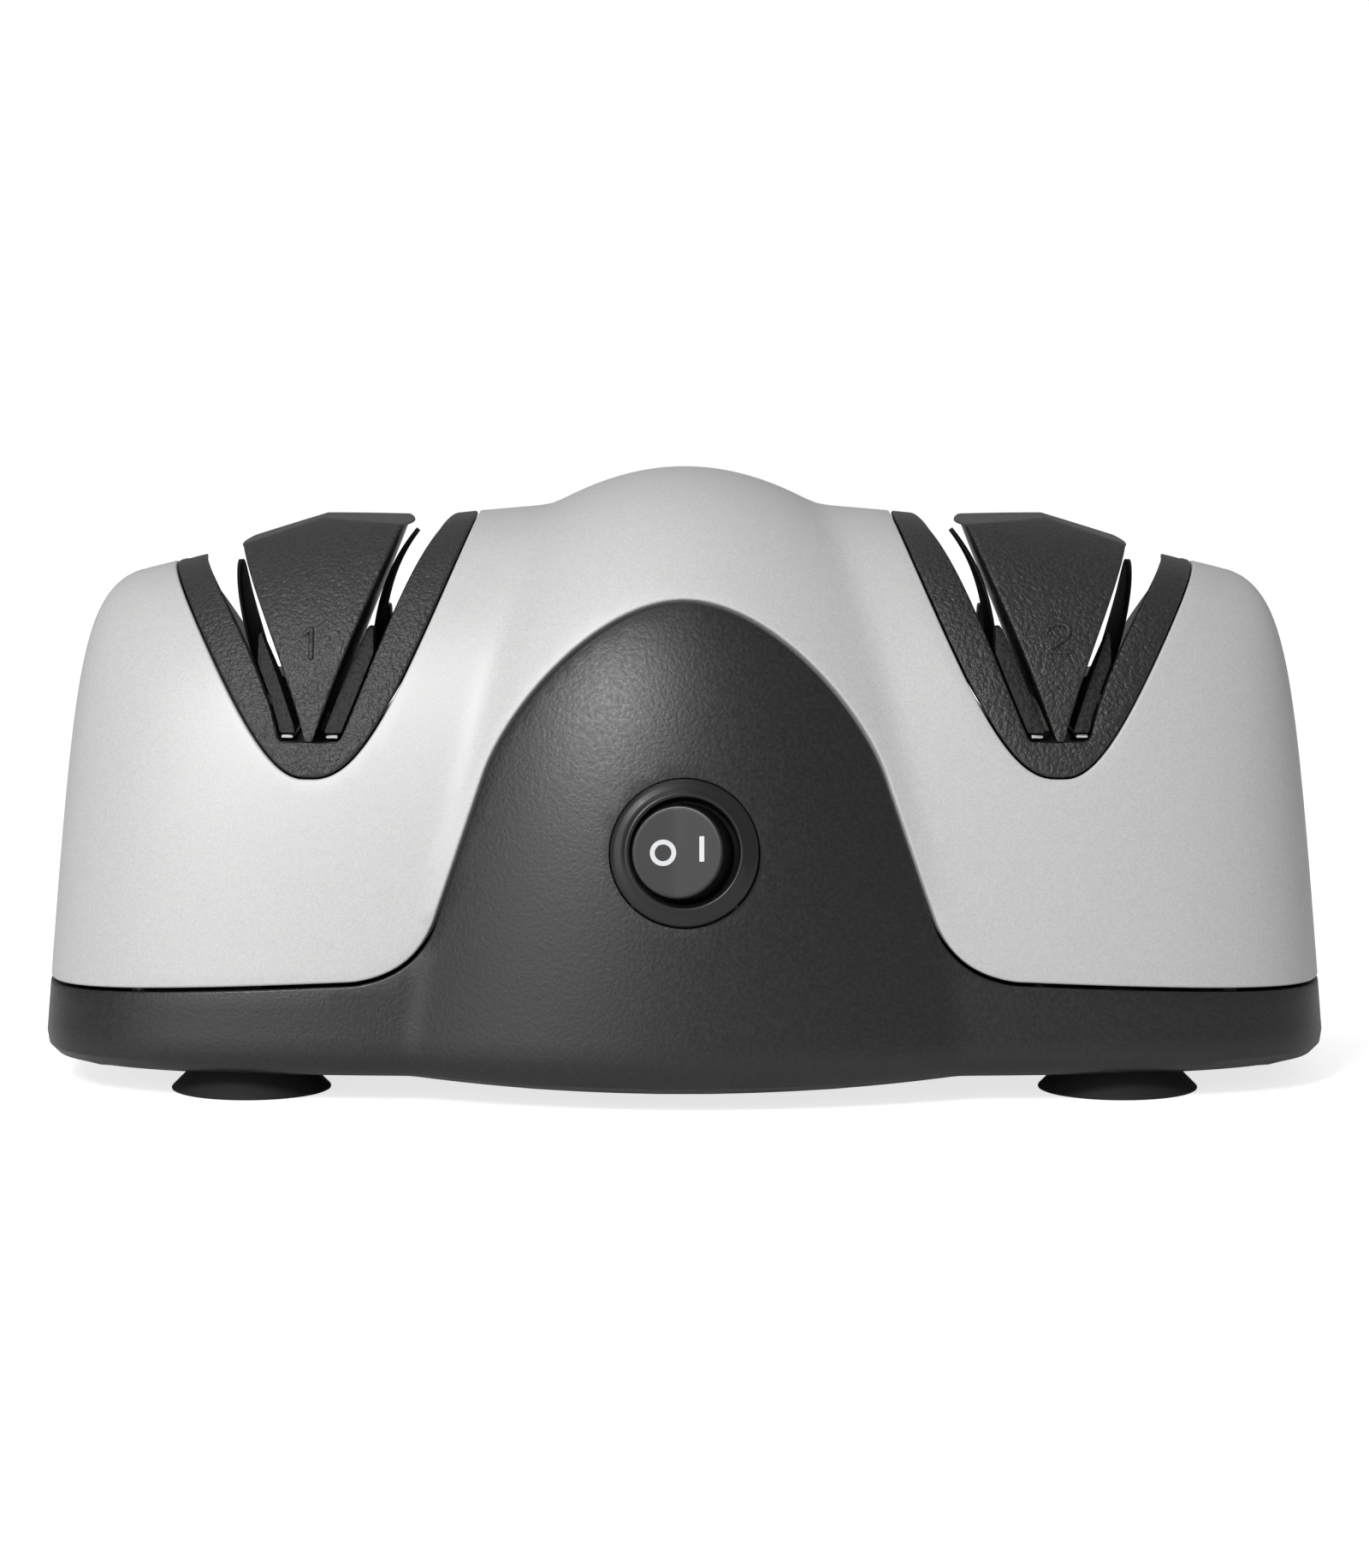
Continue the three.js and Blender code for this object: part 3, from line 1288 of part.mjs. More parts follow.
add("motor_can", motorCan(), steel);
add("motor_magnet_lower", magnet(-1), ferrite);
add("motor_magnet_upper", magnet(1), ferrite);
add("motor_left_end_cap", endCap(-1), whitePlastic);
add("motor_right_end_cap", endCap(1), whitePlastic);
add("motor_left_sleeve", sleeveBearing(-1), brass);
add("motor_right_sleeve", sleeveBearing(1), brass);
add("armature_core", armatureCore(), steel);
add("armature_winding", armatureWinding(), copper);
add("commutator", commutator(), copper);
add("brush_front", brush(-1), carbon);
add("brush_rear", brush(1), carbon);
add("cooling_fan", coolingFan(), whitePlastic);

add("switch_body", switchBody(), glossPlastic);
add("switch_rocker", rocker(), glossPlastic);
add("switch_terminal_left", terminal(-1), brass);
add("switch_terminal_right", terminal(1), brass);
add("cord_gland", cordGland(), rubber);
add("rectifier_board", rectifierBoard(), boardGreen);
add("suppressor_capacitor", capacitor(), whitePlastic);

export default sharpener;
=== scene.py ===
"""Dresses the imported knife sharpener: fine shells, guides, switch, feet and finishes around its frame."""

import json
import math

import bpy
import bmesh
import numpy as np
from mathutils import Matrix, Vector
from mathutils.geometry import delaunay_2d_cdt
from mathutils.kdtree import KDTree


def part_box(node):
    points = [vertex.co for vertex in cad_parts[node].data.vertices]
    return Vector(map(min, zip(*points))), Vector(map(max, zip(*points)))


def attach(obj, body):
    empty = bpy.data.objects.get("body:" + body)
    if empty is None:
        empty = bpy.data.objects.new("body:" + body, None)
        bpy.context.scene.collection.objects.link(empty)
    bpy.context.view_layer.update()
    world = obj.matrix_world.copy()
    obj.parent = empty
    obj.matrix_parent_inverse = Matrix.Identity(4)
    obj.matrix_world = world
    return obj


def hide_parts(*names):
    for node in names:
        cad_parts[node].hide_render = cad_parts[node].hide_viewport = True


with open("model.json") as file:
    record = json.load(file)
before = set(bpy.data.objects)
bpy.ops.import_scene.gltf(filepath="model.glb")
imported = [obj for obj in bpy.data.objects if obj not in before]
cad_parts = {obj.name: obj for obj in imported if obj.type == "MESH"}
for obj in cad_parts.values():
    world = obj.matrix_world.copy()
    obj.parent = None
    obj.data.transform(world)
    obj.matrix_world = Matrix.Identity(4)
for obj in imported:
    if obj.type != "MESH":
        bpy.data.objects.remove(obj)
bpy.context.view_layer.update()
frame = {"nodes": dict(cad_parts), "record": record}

bl_info = {
    "name": "Knife sharpener dressing",
    "version": (1, 0, 0),
    "blender": (4, 5, 0),
    "location": "3D View > Sidebar > Sharpener",
    "description": "Builds the visible pieces and finishes of a two-stage electric knife sharpener",
    "category": "Object",
}

MM = 0.001

# Spacing of the points on lines and edges, rings in a rounding, and the distance that merges points
LINE_STEP, EDGE_STEP, LONG_STEP = 0.8, 0.9, 1.2
SIDE_STEP, PAD_STEP, NUMERAL_STEP = 1.6, 0.35, 0.22
ROLL_STEPS = 4
WELD = 0.004
SHARP = math.radians(35)

# Room that the inner points of a skin leave at its edges, as a share of the step
EDGE_ROOM = 0.55

# Body, in millimetres, as the solids have it
HALF_WIDTH = 105.0
HALF_DEPTH = 46.0
RIDGE = 93.6
RIDGE_DROOP = 15.4
END_TAPER = 8.7
END_SHOULDER = 6.9
SHOULDER_POWER = 6
CORNER_POWER = 4
SKIRT_BOTTOM = 4.2
SKIRT_EDGE = 4.0
WALL_START = SKIRT_BOTTOM + SKIRT_EDGE
WALL = 2.2
HOOD_HALF_DEPTH = 55.5
HOOD_TOP = 99.3
HOOD_DIP = 1.3
CREASE_FOOT = 43.5
CREASE_TOP = 21.4
CREASE_SOFT = (0.03, 0.12)
DEPTHS = [HALF_DEPTH, 0.891 * HALF_DEPTH, 0.815 * HALF_DEPTH, 0.0]
HEIGHTS = [WALL_START, 0.56 * RIDGE, RIDGE, RIDGE]
HOOD_DEPTHS = [HOOD_HALF_DEPTH, 0.91 * HOOD_HALF_DEPTH, 0.73 * HOOD_HALF_DEPTH, 0.0]
HOOD_HEIGHTS = [WALL_START, 0.584 * HOOD_TOP, HOOD_TOP, HOOD_TOP]
CREASES = [CREASE_FOOT, 0.864 * CREASE_FOOT, 0.577 * CREASE_FOOT, CREASE_TOP]

# The bend over the body's top line: how far down it is felt, and its points on a line that crosses it
BEND_REACH, BEND_POINTS = 10.0, 31

# Seam between cover and base
SEAM_GAP = 0.6
ARCH_TOP = 79.8
ARCH_SHOULDER = (31.8, 52.7)
ARCH_CROWN = [(0, ARCH_TOP), (0.425 * ARCH_SHOULDER[0], ARCH_TOP), (27.9, 63.5), ARCH_SHOULDER]
ARCH_FOOT = (39.3, 30.5)
SEAM_START = (52.7, 19.3)
ARCH_FLARE = [ARCH_FOOT, (41.4, 23.1), (46.5, 20.2), SEAM_START]
SEAM_FRONT_END = 96.0
SEAM_END = 16.6

# Ledge under the skirt, round the base plate
LEDGE = 2.0
LEDGE_CHAMFER = (0.1, 0.15)

# Stages, across from their centre and outwards
STAGE_X = 60.0
NOTCH_BOTTOM = 51.4
NOTCH_SPAN, NOTCH_RISE = 26.0, 40.0
NOTCH_OUTER = [(0.03, 0), (0.312, 0), (0.56, 0.43), (0.94, 0.83)]
NOTCH_INNER = [(-0.03, 0), (-0.327, 0), (-0.538, 0.303), (-0.973, 0.97)]
SLOT_FLOOR = 57.2
SLOT_SPAN, SLOT_RISE = 20.0, 33.5
SLOT_CORNER, WEDGE_CORNER = 0.9, 0.3
WALL_OUTER = [(0.24, 0), (0.309, 0.206), (0.52, 0.5), (0.94, 0.83)]
WALL_INNER = [(-0.245, 0), (-0.54, 0.41), (-0.82, 0.93), (-1.09, 1.02)]
EXIT_WALL = 1.4
EXIT_START = 62.7
EXIT_RISE = math.tan(math.radians(12))
EXIT_OVERLAP = 1.5
EXIT_DIP = 0.5
EXIT_EDGE_START = 3.0
TOOL_TOP, TOOL_REAR = 100.0, 60.0
FLANK_OUTER = [(0.025, 0), (0.21, 0.367), (0.665, 0.887)]
FLANK_INNER = [(-0.03, 0), (-0.325, 0.487), (-0.765, 1)]
LEAF_OUTER = [(0.36, 0.04), (0.48, 0.275), (0.61, 0.555), (0.67, 0.8)]
LEAF_INNER = [(-0.35, 0.04), (-0.43, 0.275), (-0.51, 0.59), (-0.8, 0.95)]
POCKET_OUTER = [(0.44, 0), (0.59, 0.275), (0.75, 0.56)]
POCKET_INNER = [(-0.42, 0), (-0.52, 0.275), (-0.6, 0.56)]
POCKET_HALF_DEPTH = 17.0
LEAF_HALF_DEPTH = 14.0
WEDGE_FLUSH, WEDGE_PROUD, WEDGE_LIFT = 0.1, 1.6, 2.4
WEDGE_START, WEDGE_GROWTH = SLOT_FLOOR - 1.0, 17.0
WEDGE_RIM_CLIMB, WEDGE_RIM_LEAST = 6, 0.2
LINER_STEP_SHARE, WEDGE_STEP_SHARE = 0.8, 0.35
ROOF = [(-15.3, 90.7), (-0.6, 91.4), (13.3, 86.9)]
ROOF_SOFT = 0.2
NUMERAL_PLACES = {-1: (0.3, 72.4), 1: (-0.1, 73.3)}
NUMERAL_ONE = [(-1.4, 1.3), (-0.1, 2.45), (0.0, 2.15), (0.0, 0.0), (0.0, -2.45)]
TWO_BOW = [(-1.95, 0.85), (-1.8, 2.8), (2.3, 2.65), (1.7, 0.75)]
TWO_SWEEP = [(1.7, 0.75), (1.15, -0.35), (-1.1, -1.1), (-2.05, -2.05)]
TWO_END = (2.1, -2.05)
BLADE_GAP = 1.3
PAD_TOP = 17.6
PAD_SHOULDERS = {1: 11.8, -1: 13.7}
PAD_BLUNT = 1.0
PAD_RECESS = 1.6
PAD_INNER = 22.0
PAD_EDGE, PAD_CORNER, PAD_SHOULDER_CORNER = 0.12, 0.3, 2.0
PAD_CLEAR = 0.1
WHEEL_ROOM, WHEEL_ROOM_HALF = 21.3, 3.2
SHAFT_HEIGHT = 44.0
SEAT_GAP = 0.3
RAIL_BOTTOM, RAIL_TOP, RAIL_INNER_END = 58.4, 60.6, 3.5
RAIL_INSET, RAIL_EDGE = 0.05, 0.25
CLIP_STRIP, CLIP_EDGE = 2.1, 0.28
CLIP_TAB_HALF, CLIP_TAB_EDGE, CLIP_TAB_LEAST = 8.0, 0.2, 0.3
LEAF_TIP, LEAF_EDGE, LEAF_EDGE_SHARE = 0.35, 0.4, 0.45
BAR_END_INSET, BAR_END_REACH = 0.6, 0.4

# Switch in the arched panel: its height, how far out its seat is, and its hole
SWITCH_HEIGHT, SWITCH_SEAT = 41.1, -50.893
SWITCH_HOLE, SWITCH_HOLE_EDGE = 11.84, 0.15

# Cord gland in the rear skirt
GLAND_X = 58.0
GLAND_HEIGHT = 11.7
GLAND_SEAT, GLAND_SEAT_EDGE = 5.3, 0.25
GLAND_PROUD = 1.7
GLAND_PROFILE = [
    (2.7, -10.5), (3.9, -10.5), (3.9, 0.3), (5.0, 0.3), (5.0, 0.8), (4.85, 1.15), (4.5, 1.4), (3.3, 1.55),
    (3.0, 1.5), (2.8, 1.3), (2.7, 1.0),
]


# Curves and small vector sums
def cubic(p, t):
    s = 1 - t
    return s**3 * p[0] + 3 * s * s * t * p[1] + 3 * s * t * t * p[2] + t**3 * p[3]


def bezier(points, count):
    """Points along a Bezier curve of three or four control points."""
    t = np.linspace(0, 1, count)[:, None]
    p = [np.array(point, float) for point in points]
    if len(p) == 3:
        return (1 - t) ** 2 * p[0] + 2 * (1 - t) * t * p[1] + t * t * p[2]
    return cubic(p, t)


def unit(vectors, fallback=(0, 0, 1)):
    length = np.linalg.norm(vectors, axis=-1, keepdims=True)
    return np.where(length > 1e-9, vectors / np.maximum(length, 1e-9), np.array(fallback, float))


def dot(a, b):
    return np.sum(a * b, axis=-1)


def points_at(*coordinates):
    """Points from arrays or single numbers for their coordinates."""
    return np.stack(np.broadcast_arrays(*coordinates), axis=-1)


def circle(count):
    """Cosines and sines of evenly spaced angles all round."""
    angle = np.linspace(0, 2 * math.pi, count, endpoint=False)
    return np.cos(angle), np.sin(angle)


def run_lengths(points):
    steps = np.linalg.norm(np.diff(points, axis=0), axis=1)
    return np.concatenate([[0], np.cumsum(steps)])


def resampled(points, spacing):
    """The same open line with its points an even distance apart."""
    lengths = run_lengths(points)
    count = max(2, int(round(lengths[-1] / spacing)) + 1)
    at = np.linspace(0, lengths[-1], count)
    return np.stack([np.interp(at, lengths, points[:, k]) for k in range(points.shape[1])], axis=1)


# The body's outside. q runs from the left end (-2) over the hood's creases (-1, 1) to the right end (2).
# w runs from under the front edge (-1) up the front, over the top line (1) and down to the rear edge (3).
def rise_of(w):
    return np.where(w > 1, 2 - w, w)


def level_sizes(v):
    """The body's half sizes and heights at a rise; below zero it is the skirt's rounded edge."""
    level = np.clip(v, 0, None)
    angle = np.clip(-v, 0, None) * math.pi / 2
    inwards = SKIRT_EDGE * (1 - np.cos(angle))
    drop = SKIRT_EDGE * np.sin(angle)
    return {
        "depth": cubic(DEPTHS, level) - inwards,
        "height": cubic(HEIGHTS, level) - drop,
        "hood_depth": cubic(HOOD_DEPTHS, level) - inwards,
        "hood_height": cubic(HOOD_HEIGHTS, level) - drop - HOOD_DIP * np.sin(angle),
        "end": HALF_WIDTH - END_TAPER * level - END_SHOULDER * level**SHOULDER_POWER - inwards,
        "crease": cubic(CREASES, level),
        "soft": CREASE_SOFT[0] + (CREASE_SOFT[1] - CREASE_SOFT[0]) * level,
    }


def body_surface(q, w):
    """Points of the body's outside, where the hood swells softly out of the long low body."""
    q, w = np.broadcast_arrays(np.asarray(q, float), np.asarray(w, float))
    side = np.where(w > 1, 1.0, -1.0)
    s = level_sizes(rise_of(w))
    across = np.abs(q)
    share = 2 - across
    last_angle = np.arccos((s["crease"] / s["end"]) ** 2)
    angle = np.clip(last_angle * share * share, 0, math.pi / 2)
    in_hood = across <= 1
    x = np.where(in_hood, s["crease"] * across, s["end"] * np.sqrt(np.cos(angle)))
    plan_hood = np.clip(1 - (x / s["end"]) ** CORNER_POWER, 0, None) ** (1 / CORNER_POWER)
    plan = np.where(in_hood, plan_hood, np.sign(share) * np.sqrt(np.sin(angle)))
    rest = 1 - (x / s["crease"]) ** 2
    swell = (rest + np.sqrt(rest * rest + s["soft"] ** 2)) / 2
    y = side * (s["depth"] * plan + (s["hood_depth"] - s["depth"]) * swell)
    droop = RIDGE_DROOP * (s["height"] - SKIRT_BOTTOM) / (RIDGE - SKIRT_BOTTOM)
    z = s["height"] - droop * (x / HALF_WIDTH) ** 2 + (s["hood_height"] - s["height"]) * swell
    return points_at(np.sign(q) * x, y, z)


NUDGE = 1e-4


def slopes(surface, q, w):
    """A surface's slopes along q and w, and its normal."""
    along = (surface(q + NUDGE, w) - surface(q - NUDGE, w)) / (2 * NUDGE)
    up = (surface(q, w + NUDGE) - surface(q, w - NUDGE)) / (2 * NUDGE)
    return along, up, unit(np.cross(along, up))


def offset_surface(surface, distance):
    """The surface moved out along its normals."""

    def moved(q, w):
        q, w = np.asarray(q, float), np.asarray(w, float)
        return surface(q, w) + distance * slopes(surface, q, w)[2]

    return moved


def q_at(x, w):
    """The q of the body's points at these x and w."""
    s = level_sizes(rise_of(w))
    across = np.abs(x)
    last_angle = np.arccos((s["crease"] / s["end"]) ** 2)
    angle = np.arccos(np.clip((across / s["end"]) ** 2, 0, 1))
    return np.sign(x) * np.where(across <= s["crease"], across / s["crease"], 2 - np.sqrt(angle / last_angle))


def bisect(rising, count, low=-1.0, high=1.0):
    """The w at which each of count rising functions passes through zero."""
    lo, hi = np.full(count, low), np.full(count, high)
    for _ in range(46):
        middle = (lo + hi) / 2
        below = rising(middle) < 0
        lo, hi = np.where(below, middle, lo), np.where(below, hi, middle)
    return (lo + hi) / 2


def locate(points, surface=body_surface):
    """q and w of the front points seen at these x and z."""
    x, z = points[:, 0], points[:, 1]
    aim = x
    for _ in range(1 if surface is body_surface else 3):
        w = bisect(lambda w: surface(q_at(aim, w), w)[:, 2] - z, len(x))
        q = q_at(aim, w)
        aim = aim + x - surface(q, w)[:, 0]
    return q, w


def ridge_height(x):
    x = np.asarray(x, float)
    return body_surface(q_at(x, np.ones_like(x)), np.ones_like(x))[..., 2]


# Meshes in the making
def placed(name, data):
    """A new object in the scene."""
    made = bpy.data.objects.new(name, data)
    bpy.context.scene.collection.objects.link(made)
    return made


def settle(piece):
    """Applies a piece's modifiers, so that what they make is its plain mesh."""
    made = bpy.data.meshes.new_from_object(piece.evaluated_get(bpy.context.evaluated_depsgraph_get()))
    piece.modifiers.clear()
    old, piece.data = piece.data, made
    bpy.data.meshes.remove(old)
    made.name = piece.name
    return made


class Shape:
    """Points in millimetres and faces of a piece."""

    def __init__(self):
        self.points = []
        self.faces = []
        self.count = 0

    def add(self, points):
        points = np.asarray(points, float).reshape(-1, 3)
        self.points.append(points)
        self.count += len(points)
        return np.arange(self.count - len(points), self.count)

    def face(self, *corners):
        corners = [int(c) for c in corners]
        tidy = [c for i, c in enumerate(corners) if c != corners[i - 1]]
        if len(set(tidy)) > 2:
            self.faces.append(tidy)

    def bridge(self, a, b, closed=True):
        """Faces from ring a to ring b, where ring a runs with its faces' inside at the left."""
        n = len(a)
        for i in range(n if closed else n - 1):
            j = (i + 1) % n
            self.face(a[j], a[i], b[i], b[j])

    def rings(self, rings):
        laid = [self.add(ring) for ring in rings]
        for a, b in zip(laid, laid[1:]):
            self.bridge(a, b)
        return laid

    def span(self, ring):
        """A wall that joins the front half of a symmetric ring straight to its rear half."""
        n = len(ring)
        for i in range(n // 2):
            self.face(ring[i + 1], ring[i], ring[(n - i) % n], ring[n - i - 1])

    def take(self, other, change=lambda points: points, flip=False):
        """Adds another form's points and faces, changed or turned inside out where asked."""
        start = self.count
        self.add(change(np.concatenate(other.points)))
        for face in other.faces:
            moved = [c + start for c in face]
            self.faces.append(moved[::-1] if flip else moved)

    def tube(self, rings):
        """A closed form through a row of rings, with a face across each end."""
        laid = self.rings(rings)
        self.face(*laid[0])
        self.face(*laid[-1][::-1])

    def mesh(self, name, mend):
        """The points and faces as a mesh, after a mend."""
        mesh = bpy.data.meshes.new(name)
        mesh.from_pydata((np.concatenate(self.points) * MM).tolist(), [], self.faces)
        bm = bmesh.new()
        bm.from_mesh(mesh)
        mend(bm)
        bm.to_mesh(mesh)
        bm.free()
        return mesh

    def piece(self, name, finish, sharp=SHARP):
        def weld(bm):
            bmesh.ops.remove_doubles(bm, verts=bm.verts, dist=WELD * MM)
            bmesh.ops.dissolve_degenerate(bm, edges=bm.edges, dist=WELD * MM / 4)

        mesh = self.mesh(name, weld)
        mesh.shade_smooth()
        mesh.set_sharp_from_angle(angle=sharp)
        mesh.materials.append(finish)
        return placed(name, mesh)

    def tool(self):
        """The form as a tool to cut with."""
        return placed("tool", self.mesh("tool", lambda bm: bmesh.ops.recalc_face_normals(bm, faces=bm.faces)))


class Edge:
    """One edge of a skin: its nominal line on the surface, with the skin at its left, rounded to a radius."""

    def __init__(self, surface, q, w, closed, radius):
        self.closed = closed
        points = surface(q, w)
        self.radius = np.broadcast_to(np.asarray(radius, float), len(points))[:, None]
        along, up, self.out = slopes(surface, q, w)
        if closed:
            run = np.roll(points, -1, axis=0) - np.roll(points, 1, axis=0)
        else:
            run = np.gradient(points, axis=0)
        self.points = points
        self.into = np.cross(self.out, unit(run))
        if not closed:
            self.into[[0, -1], 1] = self.out[[0, -1], 1] = 0
            self.out = unit(self.out)
        self.into = unit(self.into)
        step = self.radius * self.into
        aa, ab, bb = dot(along, along), dot(along, up), dot(up, up)
        sa, sb = dot(along, step), dot(up, step)
        whole = np.maximum(aa * bb - ab * ab, 1e-9)
        self.q = q + (sa * bb - sb * ab) / whole
        self.w = w + (sb * aa - sa * ab) / whole
        if not closed:
            self.q[0], self.q[-1] = q[0], q[-1]

    def roll(self):
        """Rings of points over the rounding, from the face to the edge's nominal line."""
        rings = []
        for k in range(1, ROLL_STEPS + 1):
            angle = k / ROLL_STEPS * math.pi / 2
            shift = self.into * (1 - math.sin(angle)) - self.out * (1 - math.cos(angle))
            rings.append(self.points + self.radius * shift)
        return rings

    def foot(self, depth):
        return self.points - depth * self.out


class Side:
    """A run of points at one end of the body, where the front and the rear of a skin meet."""

    def __init__(self, q, w):
        self.q, self.w = np.full(len(w), float(q)), np.asarray(w, float)


# Tables of distance along the body's outside: along a low line, and up the line at ROW_Q
ROW_Q = 1.3
TABLE_Q = np.linspace(-2, 2, 1601)
TABLE_W = np.linspace(-1, 3, 1601)
RUN_Q = run_lengths(body_surface(TABLE_Q, 0.4))
RUN_W = run_lengths(body_surface(ROW_Q, TABLE_W))


def flat_of(q, w):
    """A nearly undistorted plane picture of the body's outside, in which skins are meshed."""
    return points_at(np.interp(q, TABLE_Q, RUN_Q), np.interp(w, TABLE_W, RUN_W))


def within(points, loops):
    """Whether points lie inside the first of the loops and outside the others."""
    odd = np.zeros(len(points), bool)
    x, y = points[:, 0], points[:, 1]
    for loop in loops:
        for (ax, ay), (bx, by) in zip(loop, np.roll(loop, -1, axis=0)):
            if ay == by:
                continue
            crosses = (y < ay) != (y < by)
            odd ^= crosses & (x < ax + (bx - ax) * (y - ay) / (by - ay))
    return odd


def even_rows(surface, low, high, step):
    """Points of even spacing on the front between two rises, and their mirror images on the rear."""
    fine = np.linspace(low, high, 600)
    lengths = run_lengths(surface(ROW_Q, fine))
    rises = np.interp(np.arange(step / 2, lengths[-1], step), lengths, fine)
    if high >= 1:
        rises = np.append(rises[rises < 0.995], 1.0)
    coarse = TABLE_Q[::4]
    found = []
    for row, rise in enumerate(rises):
        lengths = run_lengths(surface(coarse, rise))
        half = lengths[-1] / 2
        at = np.arange(-int(half / step) - 1, int(half / step) + 2) * step + half + (row % 2) * step / 2
        q = np.interp(at[(at > 0) & (at < lengths[-1])], lengths, coarse)
        found.append(points_at(q, rise))
        if rise < 1:
            found.append(points_at(q, 2 - rise))
    return np.concatenate(found)


def fill(surface, loops, step):
    """Triangles over the region that loops of edges and sides enclose. Leaves each edge its point numbers."""
    q, w, walls, flats = [], [], [], []
    for loop in loops:
        start = sum(map(len, q))
        for part in loop:
            part.start = sum(map(len, q))
            q.append(part.q)
            w.append(part.w)
        stop = sum(map(len, q))
        walls += [(i, i + 1 if i + 1 < stop else start) for i in range(start, stop)]
        flats.append(flat_of(np.concatenate(q)[start:], np.concatenate(w)[start:]))
    q, w = np.concatenate(q), np.concatenate(w)
    border = surface(q, w)
    tree = KDTree(len(border))
    for i, point in enumerate(border):
        tree.insert(point, i)
    tree.balance()
    rises = rise_of(w)
    grid = even_rows(surface, rises.min(), rises.max(), step)
    grid = grid[within(flat_of(grid[:, 0], grid[:, 1]), flats)]
    room = [tree.find(point)[2] > EDGE_ROOM * step for point in surface(grid[:, 0], grid[:, 1])]
    grid = grid[np.array(room, bool)]
    all_q, all_w = np.concatenate([q, grid[:, 0]]), np.concatenate([w, grid[:, 1]])
    flat = flat_of(all_q, all_w)
    points, _, found, origins, _, _ = delaunay_2d_cdt([Vector(p) for p in flat], walls, [], 0, 1e-7)
    first = [o[0] if o else -1 for o in origins]
    if min(first) < 0:
        raise RuntimeError(f"two edges of a skin cross each other at {points[first.index(-1)]}")
    merged = {i: new for new, o in enumerate(origins) for i in o}
    faces = np.array(found)
    laid = np.array([p[:] for p in points])
    faces = faces[within(laid[faces].mean(axis=1), flats)]
    for loop in loops:
        for part in loop:
            part.index = np.array([merged[part.start + i] for i in range(len(part.q))])
    return all_q[first], all_w[first], faces


def skin(shape, surface, loops, step, thickness=None):
    """Adds a skin: a closed shell if it has a thickness, and otherwise its edges' last rings are returned."""
    q, w, faces = fill(surface, loops, step)
    outer = shape.add(surface(q, w))
    for a, b, c in faces:
        shape.face(outer[a], outer[b], outer[c])
    inner = None
    if thickness:
        inner = shape.add(surface(q, w) - thickness * slopes(surface, q, w)[2])
        for a, b, c in faces:
            shape.face(inner[c], inner[b], inner[a])
    last = []
    for edge in (part for loop in loops for part in loop if isinstance(part, Edge)):
        rings = [outer[edge.index]] + [shape.add(ring) for ring in edge.roll()]
        if thickness:
            rings += [shape.add(ring) for ring in edge.beyond(thickness)] if hasattr(edge, "beyond") else []
            rings += [shape.add(edge.foot(thickness)), inner[edge.index]]
        for a, b in zip(rings, rings[1:]):
            shape.bridge(a, b, edge.closed)
        last.append(rings[-1])
    return last


# Lines of the stages, in x from the stage's centre outwards, and z
def shares(points, span, rise, floor):
    return [(x * span, floor + z * rise) for x, z in points]


def slot_line(points, count=40):
    return bezier(shares(points, SLOT_SPAN, SLOT_RISE, SLOT_FLOOR), count)


def notch_line(points, count=60):
    return bezier(shares(points, NOTCH_SPAN, NOTCH_RISE, NOTCH_BOTTOM), count)


def shifted(line, distance):
    """A line moved to the left of its run."""
    run = unit(np.column_stack([np.gradient(line, axis=0), np.zeros(len(line))]), (1, 0, 0))
    return line + distance * points_at(-run[:, 1], run[:, 0])


def x_on(line, z):
    """x of a rising line, run straight on past its end."""
    (ax, az), (bx, bz) = line[-2], line[-1]
    beyond = bx + (bx - ax) * (z - bz) / (bz - az)
    return np.where(z > bz, beyond, np.interp(z, line[:, 1], line[:, 0]))


def to_ridge(line):
    """A rising line carried on to the body's top line, with points that stay evenly spaced over the bend."""
    z = bisect(lambda z: z - ridge_height(STAGE_X + x_on(line, z)), 1, line[0, 1], HOOD_TOP)[0]
    close = z - BEND_REACH * np.linspace(1, 0, BEND_POINTS) ** 2
    straight = line[line[:, 1] < close[0] - LINE_STEP / 4]
    low = resampled(np.concatenate([straight, [[x_on(line, close[0]), close[0]]]]), LINE_STEP)
    return np.concatenate([low[:-1], points_at(x_on(line, close), close)])


def rounded(before, corner, after, radius, count=6):
    """A rounded corner between two lines that meet in a point."""
    start = corner + radius * unit(np.append(before - corner, 0))[:2]
    stop = corner + radius * unit(np.append(after - corner, 0))[:2]
    return bezier([start, corner, stop], count)


def front_line(outer, inner, flat_floor, corner_radius):
    """The outline at the front, from the outer line's crossing of the top line down and up to the inner's."""
    a, b = to_ridge(outer), to_ridge(inner)
    a, b = a[a[:, 1] > outer[0, 1] + corner_radius], b[b[:, 1] > inner[0, 1] + corner_radius]
    middle = (outer[0] + inner[0]) / 2
    right = rounded(a[0], outer[0], middle, corner_radius)
    left = rounded(middle, inner[0], b[0], corner_radius)
    floor = resampled(np.array([right[-1], left[0]]), LINE_STEP)[1:-1] if flat_floor else np.zeros((0, 2))
    return np.concatenate([a[::-1], right, floor, left, b])


def ring_of(line, stage):
    """q and w of a closed ring over the top line, from an outline at the front and its mirror image."""
    q, w = locate(points_at(stage * (STAGE_X + line[:, 0]), line[:, 1]))
    w[0] = w[-1] = 1.0
    q[[0, -1]] = q_at(stage * (STAGE_X + line[[0, -1], 0]), np.ones(2))
    return np.concatenate([q, q[-2:0:-1]]), np.concatenate([w, 2 - w[-2:0:-1]])


